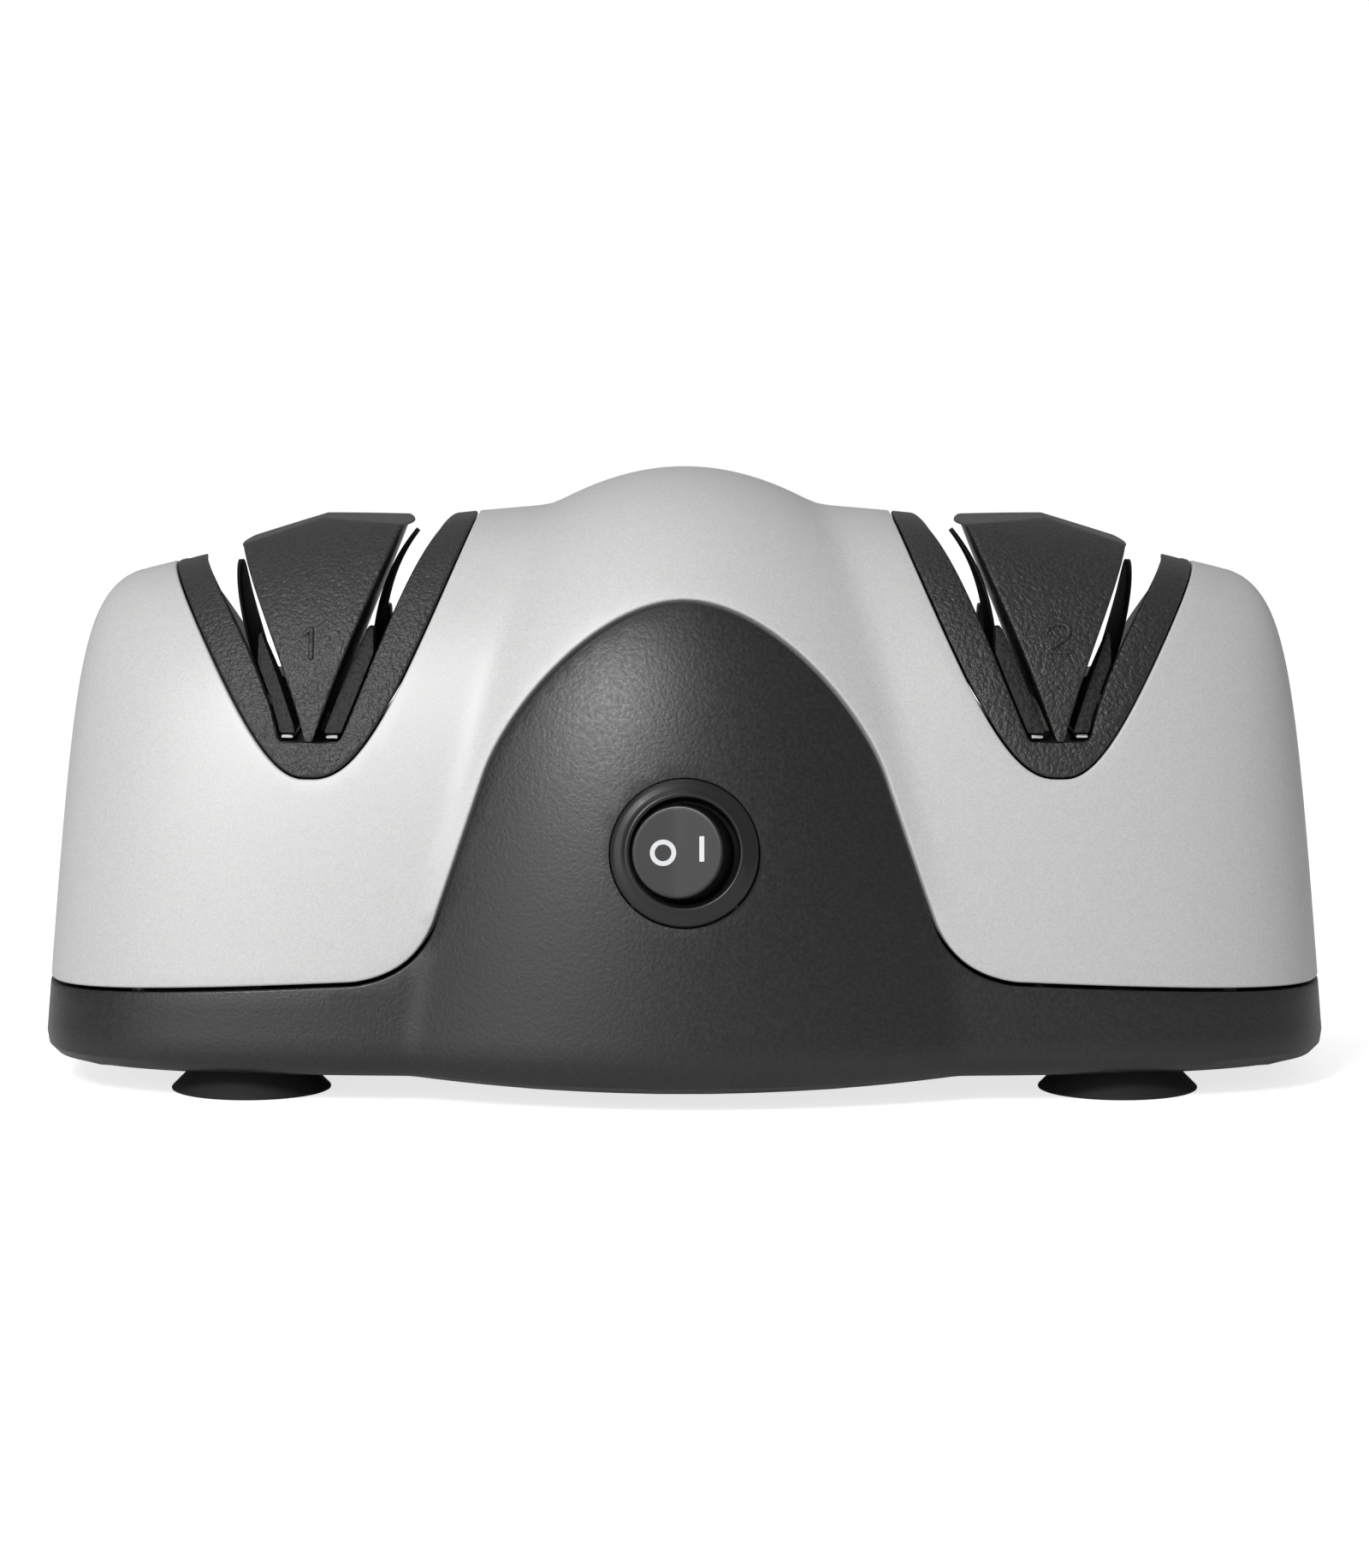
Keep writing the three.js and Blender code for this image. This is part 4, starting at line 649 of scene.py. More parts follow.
def turned_to(q, w, anticlockwise):
    """A ring's q and w, turned round where needed, so that a skin lies inside it or else around it."""
    flat = flat_of(q, w)
    nxt = np.roll(flat, -1, axis=0)
    area = np.sum(flat[:, 0] * nxt[:, 1] - nxt[:, 0] * flat[:, 1])
    if (area > 0) != anticlockwise:
        q, w = np.concatenate([q[:1], q[:0:-1]]), np.concatenate([w[:1], w[:0:-1]])
    return q, w


def ring_edge(line, stage, radius, anticlockwise):
    """An outline's ring over the top line as an edge of the body's skin."""
    q, w = turned_to(*ring_of(line, stage), anticlockwise)
    return Edge(body_surface, q, w, True, radius)


def notch_front(inset):
    """The notch's outline, moved into the notch by an inset."""
    outer, inner = shifted(notch_line(NOTCH_OUTER), inset), shifted(notch_line(NOTCH_INNER), -inset)
    return np.concatenate([to_ridge_flat(outer)[::-1], to_ridge_flat(inner)])


def to_ridge_flat(line):
    """As to_ridge, for a line that starts level."""
    climb = np.argmax(line[:, 1] > line[0, 1] + 2.0)
    upper = to_ridge(line[climb:])
    return np.concatenate([resampled(line[: climb + 1], LINE_STEP)[:-1], upper])


# Seam
def seam_height(x):
    """Height of the seam's slope from the arch's flare to the body's end."""
    return SEAM_START[1] + (SEAM_END - SEAM_START[1]) * (x - SEAM_START[0]) / (HALF_WIDTH - SEAM_START[0])


def seam_edge(front, gap, radius, leftwards):
    """The seam's line across the body, moved up by a gap, as a skin's edge."""
    if front:
        side = resampled(np.array([ARCH_SHOULDER, ARCH_FOOT]), LINE_STEP)[1:-1]
        half = np.concatenate([bezier(ARCH_CROWN, 60), side, bezier(ARCH_FLARE, 40)])
    else:
        half = np.array([(0, SEAM_START[1]), SEAM_START])
    slope = np.array([SEAM_START, (SEAM_FRONT_END, seam_height(SEAM_FRONT_END))])
    half = np.concatenate([half, resampled(slope, LONG_STEP)[1:]])
    half = resampled(shifted(resampled(half, LINE_STEP / 2), gap), EDGE_STEP)
    half[0, 0] = 0
    q, w = locate(half)
    ends = q[-1] + (2 - q[-1]) * np.linspace(0, 1, 34)[1:]

    def above(w):
        at = body_surface(ends, w)
        return at[:, 2] - seam_height(at[:, 0]) - gap

    q, w = np.concatenate([q, ends]), np.concatenate([w, bisect(above, len(ends))])
    q, w = np.concatenate([-q[:0:-1], q]), np.concatenate([w[:0:-1], w])
    if not front:
        w = 2 - w
    if leftwards:
        q, w = q[::-1].copy(), w[::-1].copy()
    return Edge(body_surface, q, w, False, radius)


def side_rise(low, high):
    """Rises between two edges at the body's end, evenly spaced and symmetric between front and rear."""
    fine = np.linspace(low, high, 200)
    lengths = run_lengths(body_surface(2.0, fine))
    count = max(2, int(lengths[-1] / SIDE_STEP))
    return np.interp(np.linspace(0, lengths[-1], count + 1), lengths, fine)


def top_cover(sizes, finish):
    radius = sizes.edge_radius / MM
    front = seam_edge(True, SEAM_GAP / 2, radius, False)
    rear = seam_edge(False, SEAM_GAP / 2, radius, True)
    loops = [[ring_edge(notch_front(0), stage, radius, False)] for stage in (1, -1)]
    rises = side_rise(front.w[-1], 1.0)[1:]
    right = Side(2, np.concatenate([rises, 2 - rises[-2::-1]]))
    left = Side(-2, np.concatenate([2 - rises, rises[-2::-1]]))
    shape = Shape()
    skin(shape, body_surface, [[front, right, rear, left]] + loops, sizes.mesh_step / MM, WALL)
    return shape.piece("cover_shell", finish)


# Base
def panel_frame():
    """The switch's place on the arched panel: its centre, and the directions right, up and out."""
    w = bisect(lambda w: body_surface(np.zeros(1), w)[:, 2] - SWITCH_HEIGHT, 1)
    centre = body_surface(np.zeros(1), w)[0]
    _, up, out = slopes(body_surface, np.zeros(1), w)
    return centre, np.array([1.0, 0, 0]), unit(up)[0], out[0]


def round_edge(place, radius, edge_radius, rear=False, count=96):
    """A round hole in the body's skin about a point of it."""
    centre, right, up, _ = place
    across, rise = circle(count)
    x = centre[0] + radius * across * (1 if right[0] > 0 else -1)
    height = radius * rise

    def above(w):
        w_there = 2 - w if rear else w
        return dot(body_surface(q_at(x, w), w_there) - centre, up) - height

    w = bisect(above, count)
    q = q_at(x, w)
    q, w = turned_to(q, 2 - w if rear else w, False)
    return Edge(body_surface, q, w, True, edge_radius)


def skirt_edge(front):
    """The lower end of the skirt's rounded edge, all along the front or the rear."""
    q = np.interp(np.arange(0, RUN_Q[-1], LONG_STEP), RUN_Q, TABLE_Q)
    q = np.concatenate([q[q < -0.01], [0], -q[q < -0.01][::-1]])
    q[0], q[-1] = -2, 2
    if front:
        return LedgeEdge(q, np.full_like(q, -1.0))
    return LedgeEdge(q[::-1].copy(), np.full_like(q, 3.0))


class LedgeEdge(Edge):
    """The skirt's lower edge, which turns in to the ledge that frames the base plate."""

    def __init__(self, q, w):
        super().__init__(body_surface, q, w, False, 0.0)
        self.inwards = -unit(self.into * np.array([1, 1, 0]), (1, 0, 0))

    def roll(self):
        chamfer, rise = LEDGE_CHAMFER
        reach = [LEDGE - chamfer, LEDGE]
        return [self.points + r * self.inwards + np.array([0, 0, z]) for r, z in zip(reach, (0, rise))]

    def beyond(self, thickness):
        return [self.points + LEDGE * self.inwards + np.array([0, 0, thickness])]


def base_housing(sizes, finish):
    radius = sizes.edge_radius / MM
    shape = Shape()
    for front in (True, False):
        upper = seam_edge(front, -SEAM_GAP / 2, radius, front)
        lower = skirt_edge(front)
        rises = side_rise(-1.0, upper.w[0] if front else 2 - upper.w[0])[1:-1]
        if front:
            loop = [lower, Side(2, rises), upper, Side(-2, rises[::-1])]
            hole = round_edge(panel_frame(), SWITCH_HOLE, SWITCH_HOLE_EDGE)
        else:
            loop = [upper, Side(2, 2 - rises[::-1]), lower, Side(-2, 2 - rises)]
            hole = round_edge(gland_frame(), GLAND_SEAT, GLAND_SEAT_EDGE, rear=True, count=48)
        skin(shape, body_surface, [loop, [hole]], sizes.mesh_step / MM, WALL)
    return shape.piece("base_shell", finish)


def gland_frame():
    x = np.array([GLAND_X])
    w = bisect(lambda w: body_surface(q_at(x, w), w)[:, 2] - GLAND_HEIGHT, 1)
    centre = body_surface(q_at(x, w), 2 - w)[0]
    return centre, np.array([-1.0, 0, 0]), np.array([0, 0, 1.0]), np.array([0, 1.0, 0])


# Stages
def stage_name(stage):
    return f"stage_{1 if stage < 0 else 2}"


def stage_liner(stage, sizes, finish):
    shape = Shape()
    border = ring_edge(notch_front(sizes.liner_gap / MM), stage, sizes.edge_radius / MM, True)
    mouth = front_line(slot_line(WALL_OUTER), slot_line(WALL_INNER), True, SLOT_CORNER)
    rim = ring_edge(mouth, stage, sizes.rim_radius / MM, False)
    for ring in skin(shape, body_surface, [[border], [rim]], sizes.mesh_step / MM * LINER_STEP_SHARE):
        shape.span(ring)
    piece = shape.piece(stage_name(stage) + "_surround", finish)
    pockets = [
        pocket_tool(stage, 1, WALL_OUTER, POCKET_OUTER), pocket_tool(stage, -1, WALL_INNER, POCKET_INNER)]
    cut_out(piece, [wheel_tool(stage), *pockets, exit_tool(stage)])
    return piece


def exit_tool(stage):
    """Room where the outer slot opens out behind the front skin, and through the skin at the rear."""
    edge, wall = shifted(notch_line(NOTCH_OUTER), EXIT_WALL), slot_line(WALL_OUTER)
    edge = edge[edge[:, 1] > NOTCH_BOTTOM + EXIT_EDGE_START]
    z = np.linspace(EXIT_START, TOOL_TOP, 46)
    start = x_on(wall, z)
    stop = np.minimum(x_on(edge, z), start[0] + 0.01 + (z - EXIT_START) / EXIT_RISE)
    start = start - EXIT_OVERLAP

    def front_y(x):
        crest = ridge_height(STAGE_X + x) - EXIT_DIP
        y = body_surface(*locate(points_at(stage * (STAGE_X + x), np.minimum(z, crest))))[:, 1]
        return np.where(z < crest, np.minimum(y + WALL, 0), 0)

    sides = [(start, front_y(start)), (stop, front_y(stop)), (stop, TOOL_REAR), (start, TOOL_REAR)]
    shape = Shape()
    shape.tube(np.stack([points_at(stage * (STAGE_X + x), y, z) for x, y in sides], axis=1))
    return shape.tool()


def pocket_tool(stage, side, wall, pocket):
    """Room behind a slot's wall for its leaf spring."""
    inner = slot_line(wall)
    inner = inner[inner[:, 1] < shares(pocket, SLOT_SPAN, SLOT_RISE, SLOT_FLOOR)[-1][1]]
    outer = bezier(shares(pocket, SLOT_SPAN, SLOT_RISE, SLOT_FLOOR + SEAT_GAP), 12)
    outline = np.concatenate([inner - np.array([side, -SEAT_GAP]), outer[::-1]])
    x, z = stage * (STAGE_X + outline[:, 0]), outline[:, 1]
    shape = Shape()
    shape.tube([points_at(x, end * POCKET_HALF_DEPTH, z) for end in (-1, 1)])
    return shape.tool()


def wheel_tool(stage):
    """Room for the grinding wheel."""
    along, up = circle(96)
    sides = (stage * STAGE_X - WHEEL_ROOM_HALF, stage * STAGE_X + WHEEL_ROOM_HALF)
    shape = Shape()
    shape.tube([points_at(x, WHEEL_ROOM * along, SHAFT_HEIGHT + WHEEL_ROOM * up) for x in sides])
    return shape.tool()


def cut_out(piece, tools):
    """Cuts closed tools out of a closed piece and applies the result to its mesh."""
    for tool in tools:
        cut = piece.modifiers.new("Cut", "BOOLEAN")
        cut.operation = "DIFFERENCE"
        cut.solver = "MANIFOLD"
        cut.object = tool
    made = settle(piece)
    if len(made.polygons) < 12:
        raise RuntimeError(piece.name + " was lost in a cut")
    made.set_sharp_from_angle(angle=SHARP)
    for tool in tools:
        bpy.data.meshes.remove(tool.data)


def roof_height(across):
    return np.interp(across, [p[0] for p in ROOF], [p[1] for p in ROOF])


def wedge_surface(q, w):
    """The body's outside stood proud over the stage's middle, under a ridged roof."""
    base = body_surface(q, w)
    normal = slopes(body_surface, np.asarray(q, float), np.asarray(w, float))[2]
    lean = unit(normal * np.array([0, 1, 1]))
    level = np.clip(1 - np.abs(np.asarray(w, float) - 1), 0, 1)
    grown = np.clip((base[..., 2] - WEDGE_START) / WEDGE_GROWTH, 0, 1)
    swell = (WEDGE_PROUD - WEDGE_FLUSH) * grown * grown * (3 - 2 * grown)
    proud = WEDGE_FLUSH + swell + WEDGE_LIFT * level**4
    point = base + proud[..., None] * lean
    top = roof_height(np.abs(point[..., 0]) - STAGE_X)
    under = point[..., 2] - top
    point[..., 2] = top + (under - np.sqrt(under * under + ROOF_SOFT**2)) / 2
    return point


def wedge(stage, sizes, finish):
    shape = Shape()
    outline = front_line(slot_line(FLANK_OUTER), slot_line(FLANK_INNER), False, WEDGE_CORNER)
    q, w = turned_to(*ring_of(outline, stage), True)
    climb = wedge_surface(q, w)[:, 2] - SLOT_FLOOR
    share = np.clip(climb / WEDGE_RIM_CLIMB, WEDGE_RIM_LEAST, 1)
    rim = Edge(wedge_surface, q, w, True, sizes.rim_radius / MM * share)
    for ring in skin(shape, wedge_surface, [[rim]], sizes.mesh_step / MM * WEDGE_STEP_SHARE):
        shape.span(ring)
    return shape.piece(stage_name(stage) + "_centre", finish)


def mark_path(stage):
    """The strokes of the moulded numeral 1 or 2, across and up from its middle."""
    if stage < 0:
        return np.array(NUMERAL_ONE)
    return np.concatenate([bezier(TWO_BOW, 20), bezier(TWO_SWEEP, 14)[1:], [TWO_END]])


def stroke(shape, surface, line, half_width, height, sides=10):
    """A raised half-round line on a surface, with rounded ends."""
    q, w = locate(line, surface)
    points = surface(q, w)
    out = slopes(surface, q, w)[2]
    run = unit(np.gradient(points, axis=0))
    across = unit(np.cross(out, run))
    lengths = run_lengths(points)
    to_end = np.minimum(lengths, lengths[-1] - lengths)
    swell = np.sqrt(np.clip(1 - (1 - np.minimum(to_end / half_width, 1)) ** 2, 0.02, 1))[:, None]
    rings = []
    for k in range(sides):
        angle = -2 * math.pi * k / sides
        reach = half_width * math.cos(angle) * across + height * math.sin(angle) * out
        rings.append(points + swell * reach)
    shape.tube(np.stack(rings, axis=1))


def moulded_numeral(stage, sizes, finish):
    shape = Shape()
    across, up = NUMERAL_PLACES[stage]
    line = np.array([stage * STAGE_X + across, up]) + resampled(mark_path(stage), NUMERAL_STEP)
    stroke(shape, wedge_surface, line, sizes.numeral_width / MM / 2, sizes.numeral_height / MM)
    return shape.piece(stage_name(stage) + "_numeral", finish, sharp=math.radians(60))


# Blade guides
SIDES = {1: (FLANK_OUTER, WALL_OUTER, LEAF_OUTER), -1: (FLANK_INNER, WALL_INNER, LEAF_INNER)}


def guide_name(stage, slot):
    return stage_name(stage) + ("_left" if stage * slot < 0 else "_right")


def bar(shape, low, high, radius, corner_steps=3):
    """A straight bar along Y with rounded long edges and slightly rounded ends."""
    low, high = np.array(low, float), np.array(high, float)
    middle, half = (low + high)[[0, 2]] / 2, (high - low)[[0, 2]] / 2
    corners = []
    for k in range(4):
        for i in range(corner_steps + 1):
            angle = math.pi / 2 * (k + i / corner_steps)
            sign = np.array([1 if k in (0, 3) else -1, 1 if k < 2 else -1])
            corners.append((sign * (half - radius), (math.cos(angle), math.sin(angle))))
    base = np.array([c for c, _ in corners])
    way = np.array([w for _, w in corners])

    def ring(y, reach):
        at = middle + base + radius * reach * way
        return points_at(at[:, 0], y, at[:, 1])

    inset = BAR_END_INSET * radius
    levels = [(low[1], BAR_END_REACH), (low[1] + inset, 1), (high[1] - inset, 1), (high[1], BAR_END_REACH)]
    shape.tube([ring(y, share) for y, share in levels])


def filleted(before, corner, after, radius, count=6):
    """A true arc between two lines that meet in a point."""
    a, b = (unit(np.append(end - corner, 0))[:2] for end in (before, after))
    half = math.acos(np.clip(np.dot(a, b), -1, 1)) / 2
    centre = corner + unit(np.append(a + b, 0))[:2] * radius / math.sin(half)
    start, stop = (corner + way * radius / math.tan(half) - centre for way in (a, b))
    first = math.atan2(start[1], start[0])
    turn = math.remainder(math.atan2(stop[1], stop[0]) - first, 2 * math.pi)
    angle = first + turn * np.linspace(0, 1, count)
    return centre + radius * points_at(np.cos(angle), np.sin(angle))


def lance_outline(slot):
    """A pad's face, across from the stage's centre and up."""
    flank, wall = slot_line(SIDES[slot][0]), slot_line(SIDES[slot][1])
    rise = np.linspace(RAIL_BOTTOM, SLOT_FLOOR + PAD_TOP, 24)
    fall = np.linspace(SLOT_FLOOR + PAD_SHOULDERS[slot], RAIL_BOTTOM, 16)
    inner = points_at(x_on(flank, rise) + slot * BLADE_GAP, rise)
    outer = points_at(x_on(wall, fall) - slot * SEAT_GAP, fall)
    top = [inner[-1]] if slot > 0 else [inner[-1], inner[-1] + np.array([slot * PAD_BLUNT, 0])]
    corners = [*top, outer[0], outer[-1], inner[0]]
    near = [
        (inner[-2], corners[1]), *((corners[i - 1], corners[i + 1]) for i in range(1, len(top))),
        (top[-1], outer[1]), (outer[-2], inner[0]), (outer[-1], inner[1]),
    ]
    radii = [PAD_CORNER] * len(top) + [PAD_SHOULDER_CORNER, PAD_CORNER, PAD_CORNER]
    arcs = [filleted(ends[0], corner, ends[1], radius) for corner, ends, radius in zip(corners, near, radii)]

    def between(side, low, high):
        """The points of a side that lie clear of the arcs at its ends."""
        return side[(side[:, 1] > low[1] + PAD_CLEAR) & (side[:, 1] < high[1] - PAD_CLEAR)]

    inner, outer = between(inner, arcs[-1][-1], arcs[0][0]), between(outer, arcs[-2][0], arcs[-3][-1])
    whole = np.concatenate([inner, *arcs[:-2], outer, *arcs[-2:]])
    return resampled(np.concatenate([whole, whole[:1]]), PAD_STEP)[:-1]


def guide_pads(stage, slot, finish):
    """A slot's two pads, one at the front and its mirror image at the rear, joined by a rail."""
    recessed = offset_surface(body_surface, -PAD_RECESS)
    outline = lance_outline(slot)
    q, w = locate(points_at(stage * (STAGE_X + outline[:, 0]), outline[:, 1]), recessed)
    q, w = turned_to(q, w, True)
    front = Shape()
    edge = Edge(recessed, q, w, True, PAD_EDGE)
    ring = skin(front, recessed, [[edge]], LONG_STEP)[0]
    lip = np.concatenate(front.points)[ring]
    back = lip.copy()
    back[:, 1] = -PAD_INNER
    laid = front.add(back)
    front.bridge(ring, laid)
    front.face(*laid[::-1])
    shape = Shape()
    shape.take(front)
    shape.take(front, lambda points: points * np.array([1, -1, 1]), flip=True)
    wall = slot_line(SIDES[slot][1])
    ends = (slot * RAIL_INNER_END, x_on(wall, RAIL_BOTTOM) - slot * SEAT_GAP)
    ends = sorted(stage * (STAGE_X + x) for x in ends)
    reach = PAD_INNER - RAIL_INSET
    bar(shape, (ends[0], -reach, RAIL_BOTTOM), (ends[1], reach, RAIL_TOP), RAIL_EDGE)
    return shape.piece(guide_name(stage, slot) + "_pads", finish)


def guide_clip(stage, slot, finish):
    """The bright clip at a slot's bottom, in the box that the solids give it."""
    low, high = (np.array(corner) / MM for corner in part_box(guide_name(stage, slot) + "_guide_clip"))
    wall = slot_line(SIDES[slot][1])
    outer = x_on(wall, SLOT_FLOOR + SEAT_GAP) - slot * SEAT_GAP
    strip = sorted(stage * (STAGE_X + x) for x in (outer, outer - slot * CLIP_STRIP))
    shape = Shape()
    bar(shape, (strip[0], low[1], low[2]), (strip[1], high[1], high[2]), CLIP_EDGE)
    inner = low[0] if abs(low[0] - strip[0]) > 0.05 else high[0]
    tab = sorted((inner, strip[0] if inner < strip[0] else strip[1]))
    if tab[1] - tab[0] > CLIP_TAB_LEAST:
        bar(shape, (tab[0], -CLIP_TAB_HALF, low[2]), (tab[1], CLIP_TAB_HALF, high[2]), CLIP_TAB_EDGE)
    return shape.piece(guide_name(stage, slot) + "_clip", finish)


def leaf_spring(stage, slot, sizes, finish, columns=11):
    """A thin tongue with a round top, curved up the slot's wall."""
    points = np.array(shares(SIDES[slot][2], SLOT_SPAN, SLOT_RISE, SLOT_FLOOR))
    curve = np.polyfit(points[:, 1] - SLOT_FLOOR, points[:, 0], 3)
    bottom, top = points[0, 1], points[-1, 1]
    straight = np.linspace(bottom, top - LEAF_HALF_DEPTH, 14)[:-1]
    angles = np.linspace(0, math.pi / 2, 18)
    z = np.concatenate([straight, top - LEAF_HALF_DEPTH * (1 - np.sin(angles))])
    half = np.concatenate([np.full(len(straight), LEAF_HALF_DEPTH), LEAF_HALF_DEPTH * np.cos(angles)])
    half[-1] = LEAF_TIP
    x = np.polyval(curve, z - SLOT_FLOOR)
    slope = np.polyval(np.polyder(curve), z - SLOT_FLOOR)
    out = points_at(1.0, 0.0, -slope) / np.hypot(1, slope)[:, None]
    out[:, 0] *= stage
    reach = half[:, None] * np.linspace(-1, 1, columns)
    edge = np.clip((half[:, None] - np.abs(reach)) / LEAF_EDGE, 0, 1)
    swell = sizes.leaf_thickness / MM * (LEAF_EDGE_SHARE + (1 - LEAF_EDGE_SHARE) * np.sqrt(edge))
    middle = points_at(stage * (STAGE_X + x[:, None]), reach, z[:, None])
    shape = Shape()
    faces = []
    for side in (0.5, -0.5):
        faces.append([shape.add(row) for row in middle + (side * swell)[..., None] * out[:, None]])
    flip = stage > 0
    for rows, inner in zip(faces, (flip, not flip)):
        for a, b in zip(rows, rows[1:]):
            for j in range(columns - 1):
                corners = (a[j], a[j + 1], b[j + 1], b[j])
                shape.face(*(corners if inner else corners[::-1]))

    def outline(rows):
        sides = [r[0] for r in rows], rows[-1][1:-1], [r[-1] for r in rows[::-1]], rows[0][-2:0:-1]
        return np.concatenate(sides)

    a, b = (outline(rows) for rows in faces)
    shape.bridge(*((b, a) if flip else (a, b)))
    return shape.piece(guide_name(stage, slot) + "_leaf", finish, sharp=math.radians(50))


# Rocker switch, in right, up and out of the panel
BEZEL_BOTTOM, LIP_TOP, WELL_FLOOR = -0.7, 1.8, -5.7
ROCKER_PIVOT, ROCKER_SHIFT = -1.4, -0.3
ROCKER_PROUD, ROCKER_DEPTH = 1.2, 6.3
ROCKER_FACE, ROCKER_EDGE = 7.35, 0.35
ROCKER_FLANK = [(7.5, 0.25), (7.7, 0.5), (7.9, 0.8), (7.9, 1.0)]
ROCKER_CENTRE_RING = 0.4
VALLEY_SOFT = 0.5
ROCKER_TILT = math.radians(12)
ROCKER_VALLEY = math.radians(5)
MARK_OFF, MARK_OFF_RADII = (-2.3, -0.1), (1.32, 2.07)
MARK_ON, MARK_ON_HALF, MARK_CORNER = (3.94, 0.4), (0.4, 2.0), 0.15
MARK_SUNK, MARK_RAISED, MARK_CORE = -0.1, 0.05, (0.4, 0.9)
BEZEL_PROFILE = [
    (8.6, WELL_FLOOR), (8.6, 1.25), (8.66, 1.5), (8.82, 1.7), (9.05, 1.79), (9.3, 1.74), (9.52, 1.6),
    (9.7, 1.42), (10.2, 1.22), (10.9, 0.98), (11.3, 0.8), (11.56, 0.58), (11.68, 0.3), (11.7, 0),
    (11.7, BEZEL_BOTTOM), (9.7, BEZEL_BOTTOM), (9.7, -15.7),
]


def set_along(points, right, up, out):
    """Points given along three directions."""
    points = np.asarray(points, float)
    return points[..., :1] * right + points[..., 1:2] * up + points[..., 2:] * out


def on_panel(points):
    centre, right, up, out = panel_frame()
    return np.array([centre[0], SWITCH_SEAT, centre[2]]) + set_along(points, right, up, out)


def turned(profile, count=96):
    """Rings of a form turned about the third axis, from a profile of radius and height."""
    x, y = circle(count)
    return [points_at(r * x, r * y, float(h)) for r, h in profile]


def switch_housing(finish):
    shape = Shape()
    shape.tube([on_panel(ring) for ring in turned(BEZEL_PROFILE)])
    return shape.piece("switch_bezel", finish)


def rocker_height(across):
    """Height of the rocker's face, two slopes that meet in a soft valley."""
    fall = ROCKER_FACE * math.tan(ROCKER_VALLEY)
    soft = np.sqrt(across * across + VALLEY_SOFT) - math.sqrt(VALLEY_SOFT)
    return LIP_TOP + ROCKER_PROUD - fall + soft * math.tan(ROCKER_VALLEY)


def tilted(points):
    """Rocker points leaned to its O side about its pin."""
    x, y, z = points[..., 0] + ROCKER_SHIFT, points[..., 1], points[..., 2] - ROCKER_PIVOT
    c, s = math.cos(ROCKER_TILT), math.sin(ROCKER_TILT)
    return on_panel(points_at(x * c - z * s, y, x * s + z * c + ROCKER_PIVOT))


def rocker_key(finish):
    """The round rocker, leaned to its O side."""
    shoulder = ROCKER_FACE - ROCKER_EDGE
    levels = [(radius, 0, 0) for radius in np.linspace(ROCKER_CENTRE_RING, shoulder, 16)]
    for k in range(1, ROLL_STEPS + 1):
        angle = math.pi / 2 * k / ROLL_STEPS
        levels.append((shoulder + ROCKER_EDGE * math.sin(angle), ROCKER_EDGE * (1 - math.cos(angle)), 0))
    levels += [(radius, ROCKER_EDGE, share) for radius, share in ROCKER_FLANK]
    bottom = LIP_TOP + ROCKER_PROUD - ROCKER_DEPTH
    rings = []
    for radius, drop, share in levels:
        ring = turned([(radius, 0)])[0]
        top = rocker_height(ring[:, 0]) - drop
        ring[:, 2] = top + (bottom - top) * share
        rings.append(tilted(ring))
    shape = Shape()
    shape.tube(rings)
    return shape.piece("switch_rocker_key", finish)


def printed_mark(name, inner, outer, finish):
    """A thin raised mark on the rocker's face: a ring between two outlines, or one filled outline."""

    def lifted(line, height):
        return tilted(np.column_stack([line, rocker_height(line[:, 0]) + height]))

    shape = Shape()
    outer = outer[::-1]
    sides = [lifted(outer, MARK_SUNK), lifted(outer, MARK_RAISED)]
    if inner is None:
        middle = outer.mean(axis=0)
        shape.tube([*sides, lifted(middle + (outer - middle) * np.array(MARK_CORE), MARK_RAISED)])
    else:
        laid = shape.rings([*sides, lifted(inner[::-1], MARK_RAISED), lifted(inner[::-1], MARK_SUNK)])
        shape.bridge(laid[-1], laid[0])
    return shape.piece(name, finish, sharp=math.radians(60))


def circle_line(centre, radius, count=64):
    return np.array(centre) + radius * points_at(*circle(count))


def bar_line(centre, half, radius, steps=5):
    """A slim upright bar with rounded corners."""
    line = []
    for k, sign in enumerate(((1, 1), (-1, 1), (-1, -1), (1, -1))):
        corner = np.array(centre) + np.array(sign) * (np.array(half) - radius)
        for i in range(steps):
            angle = math.pi / 2 * (k + i / (steps - 1))
            line.append(corner + radius * np.array([math.cos(angle), math.sin(angle)]))
    return np.array(line)


def cord_gland(finish):
    """A ribbed bush in the rear skirt, with an open bore."""
    centre, *directions = gland_frame()
    seat = np.array([centre[0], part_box("cord_gland")[1].y / MM - GLAND_PROUD, centre[2]])
    shape = Shape()
    laid = shape.rings([seat + set_along(ring, *directions) for ring in turned(GLAND_PROFILE, 64)[::-1]])
    shape.bridge(laid[-1], laid[0])
    return shape.piece("gland_bush", finish)


# Node graphs
class Term:
    """A node's output that ordinary Python sums work on."""

    def __init__(self, graph, socket):
        self.graph, self.socket = graph, socket

    def __add__(self, other):
        return self.graph.maths("ADD", self, other)

    def __radd__(self, other):
        return self.graph.maths("ADD", other, self)

    def __sub__(self, other):
        return self.graph.maths("SUBTRACT", self, other)

    def __rsub__(self, other):
        return self.graph.maths("SUBTRACT", other, self)

    def __mul__(self, other):
        return self.graph.maths("MULTIPLY", self, other)

    def __rmul__(self, other):
        return self.graph.maths("MULTIPLY", other, self)

    def __truediv__(self, other):
        return self.graph.maths("DIVIDE", self, other)

    def __rtruediv__(self, other):
        return self.graph.maths("DIVIDE", other, self)


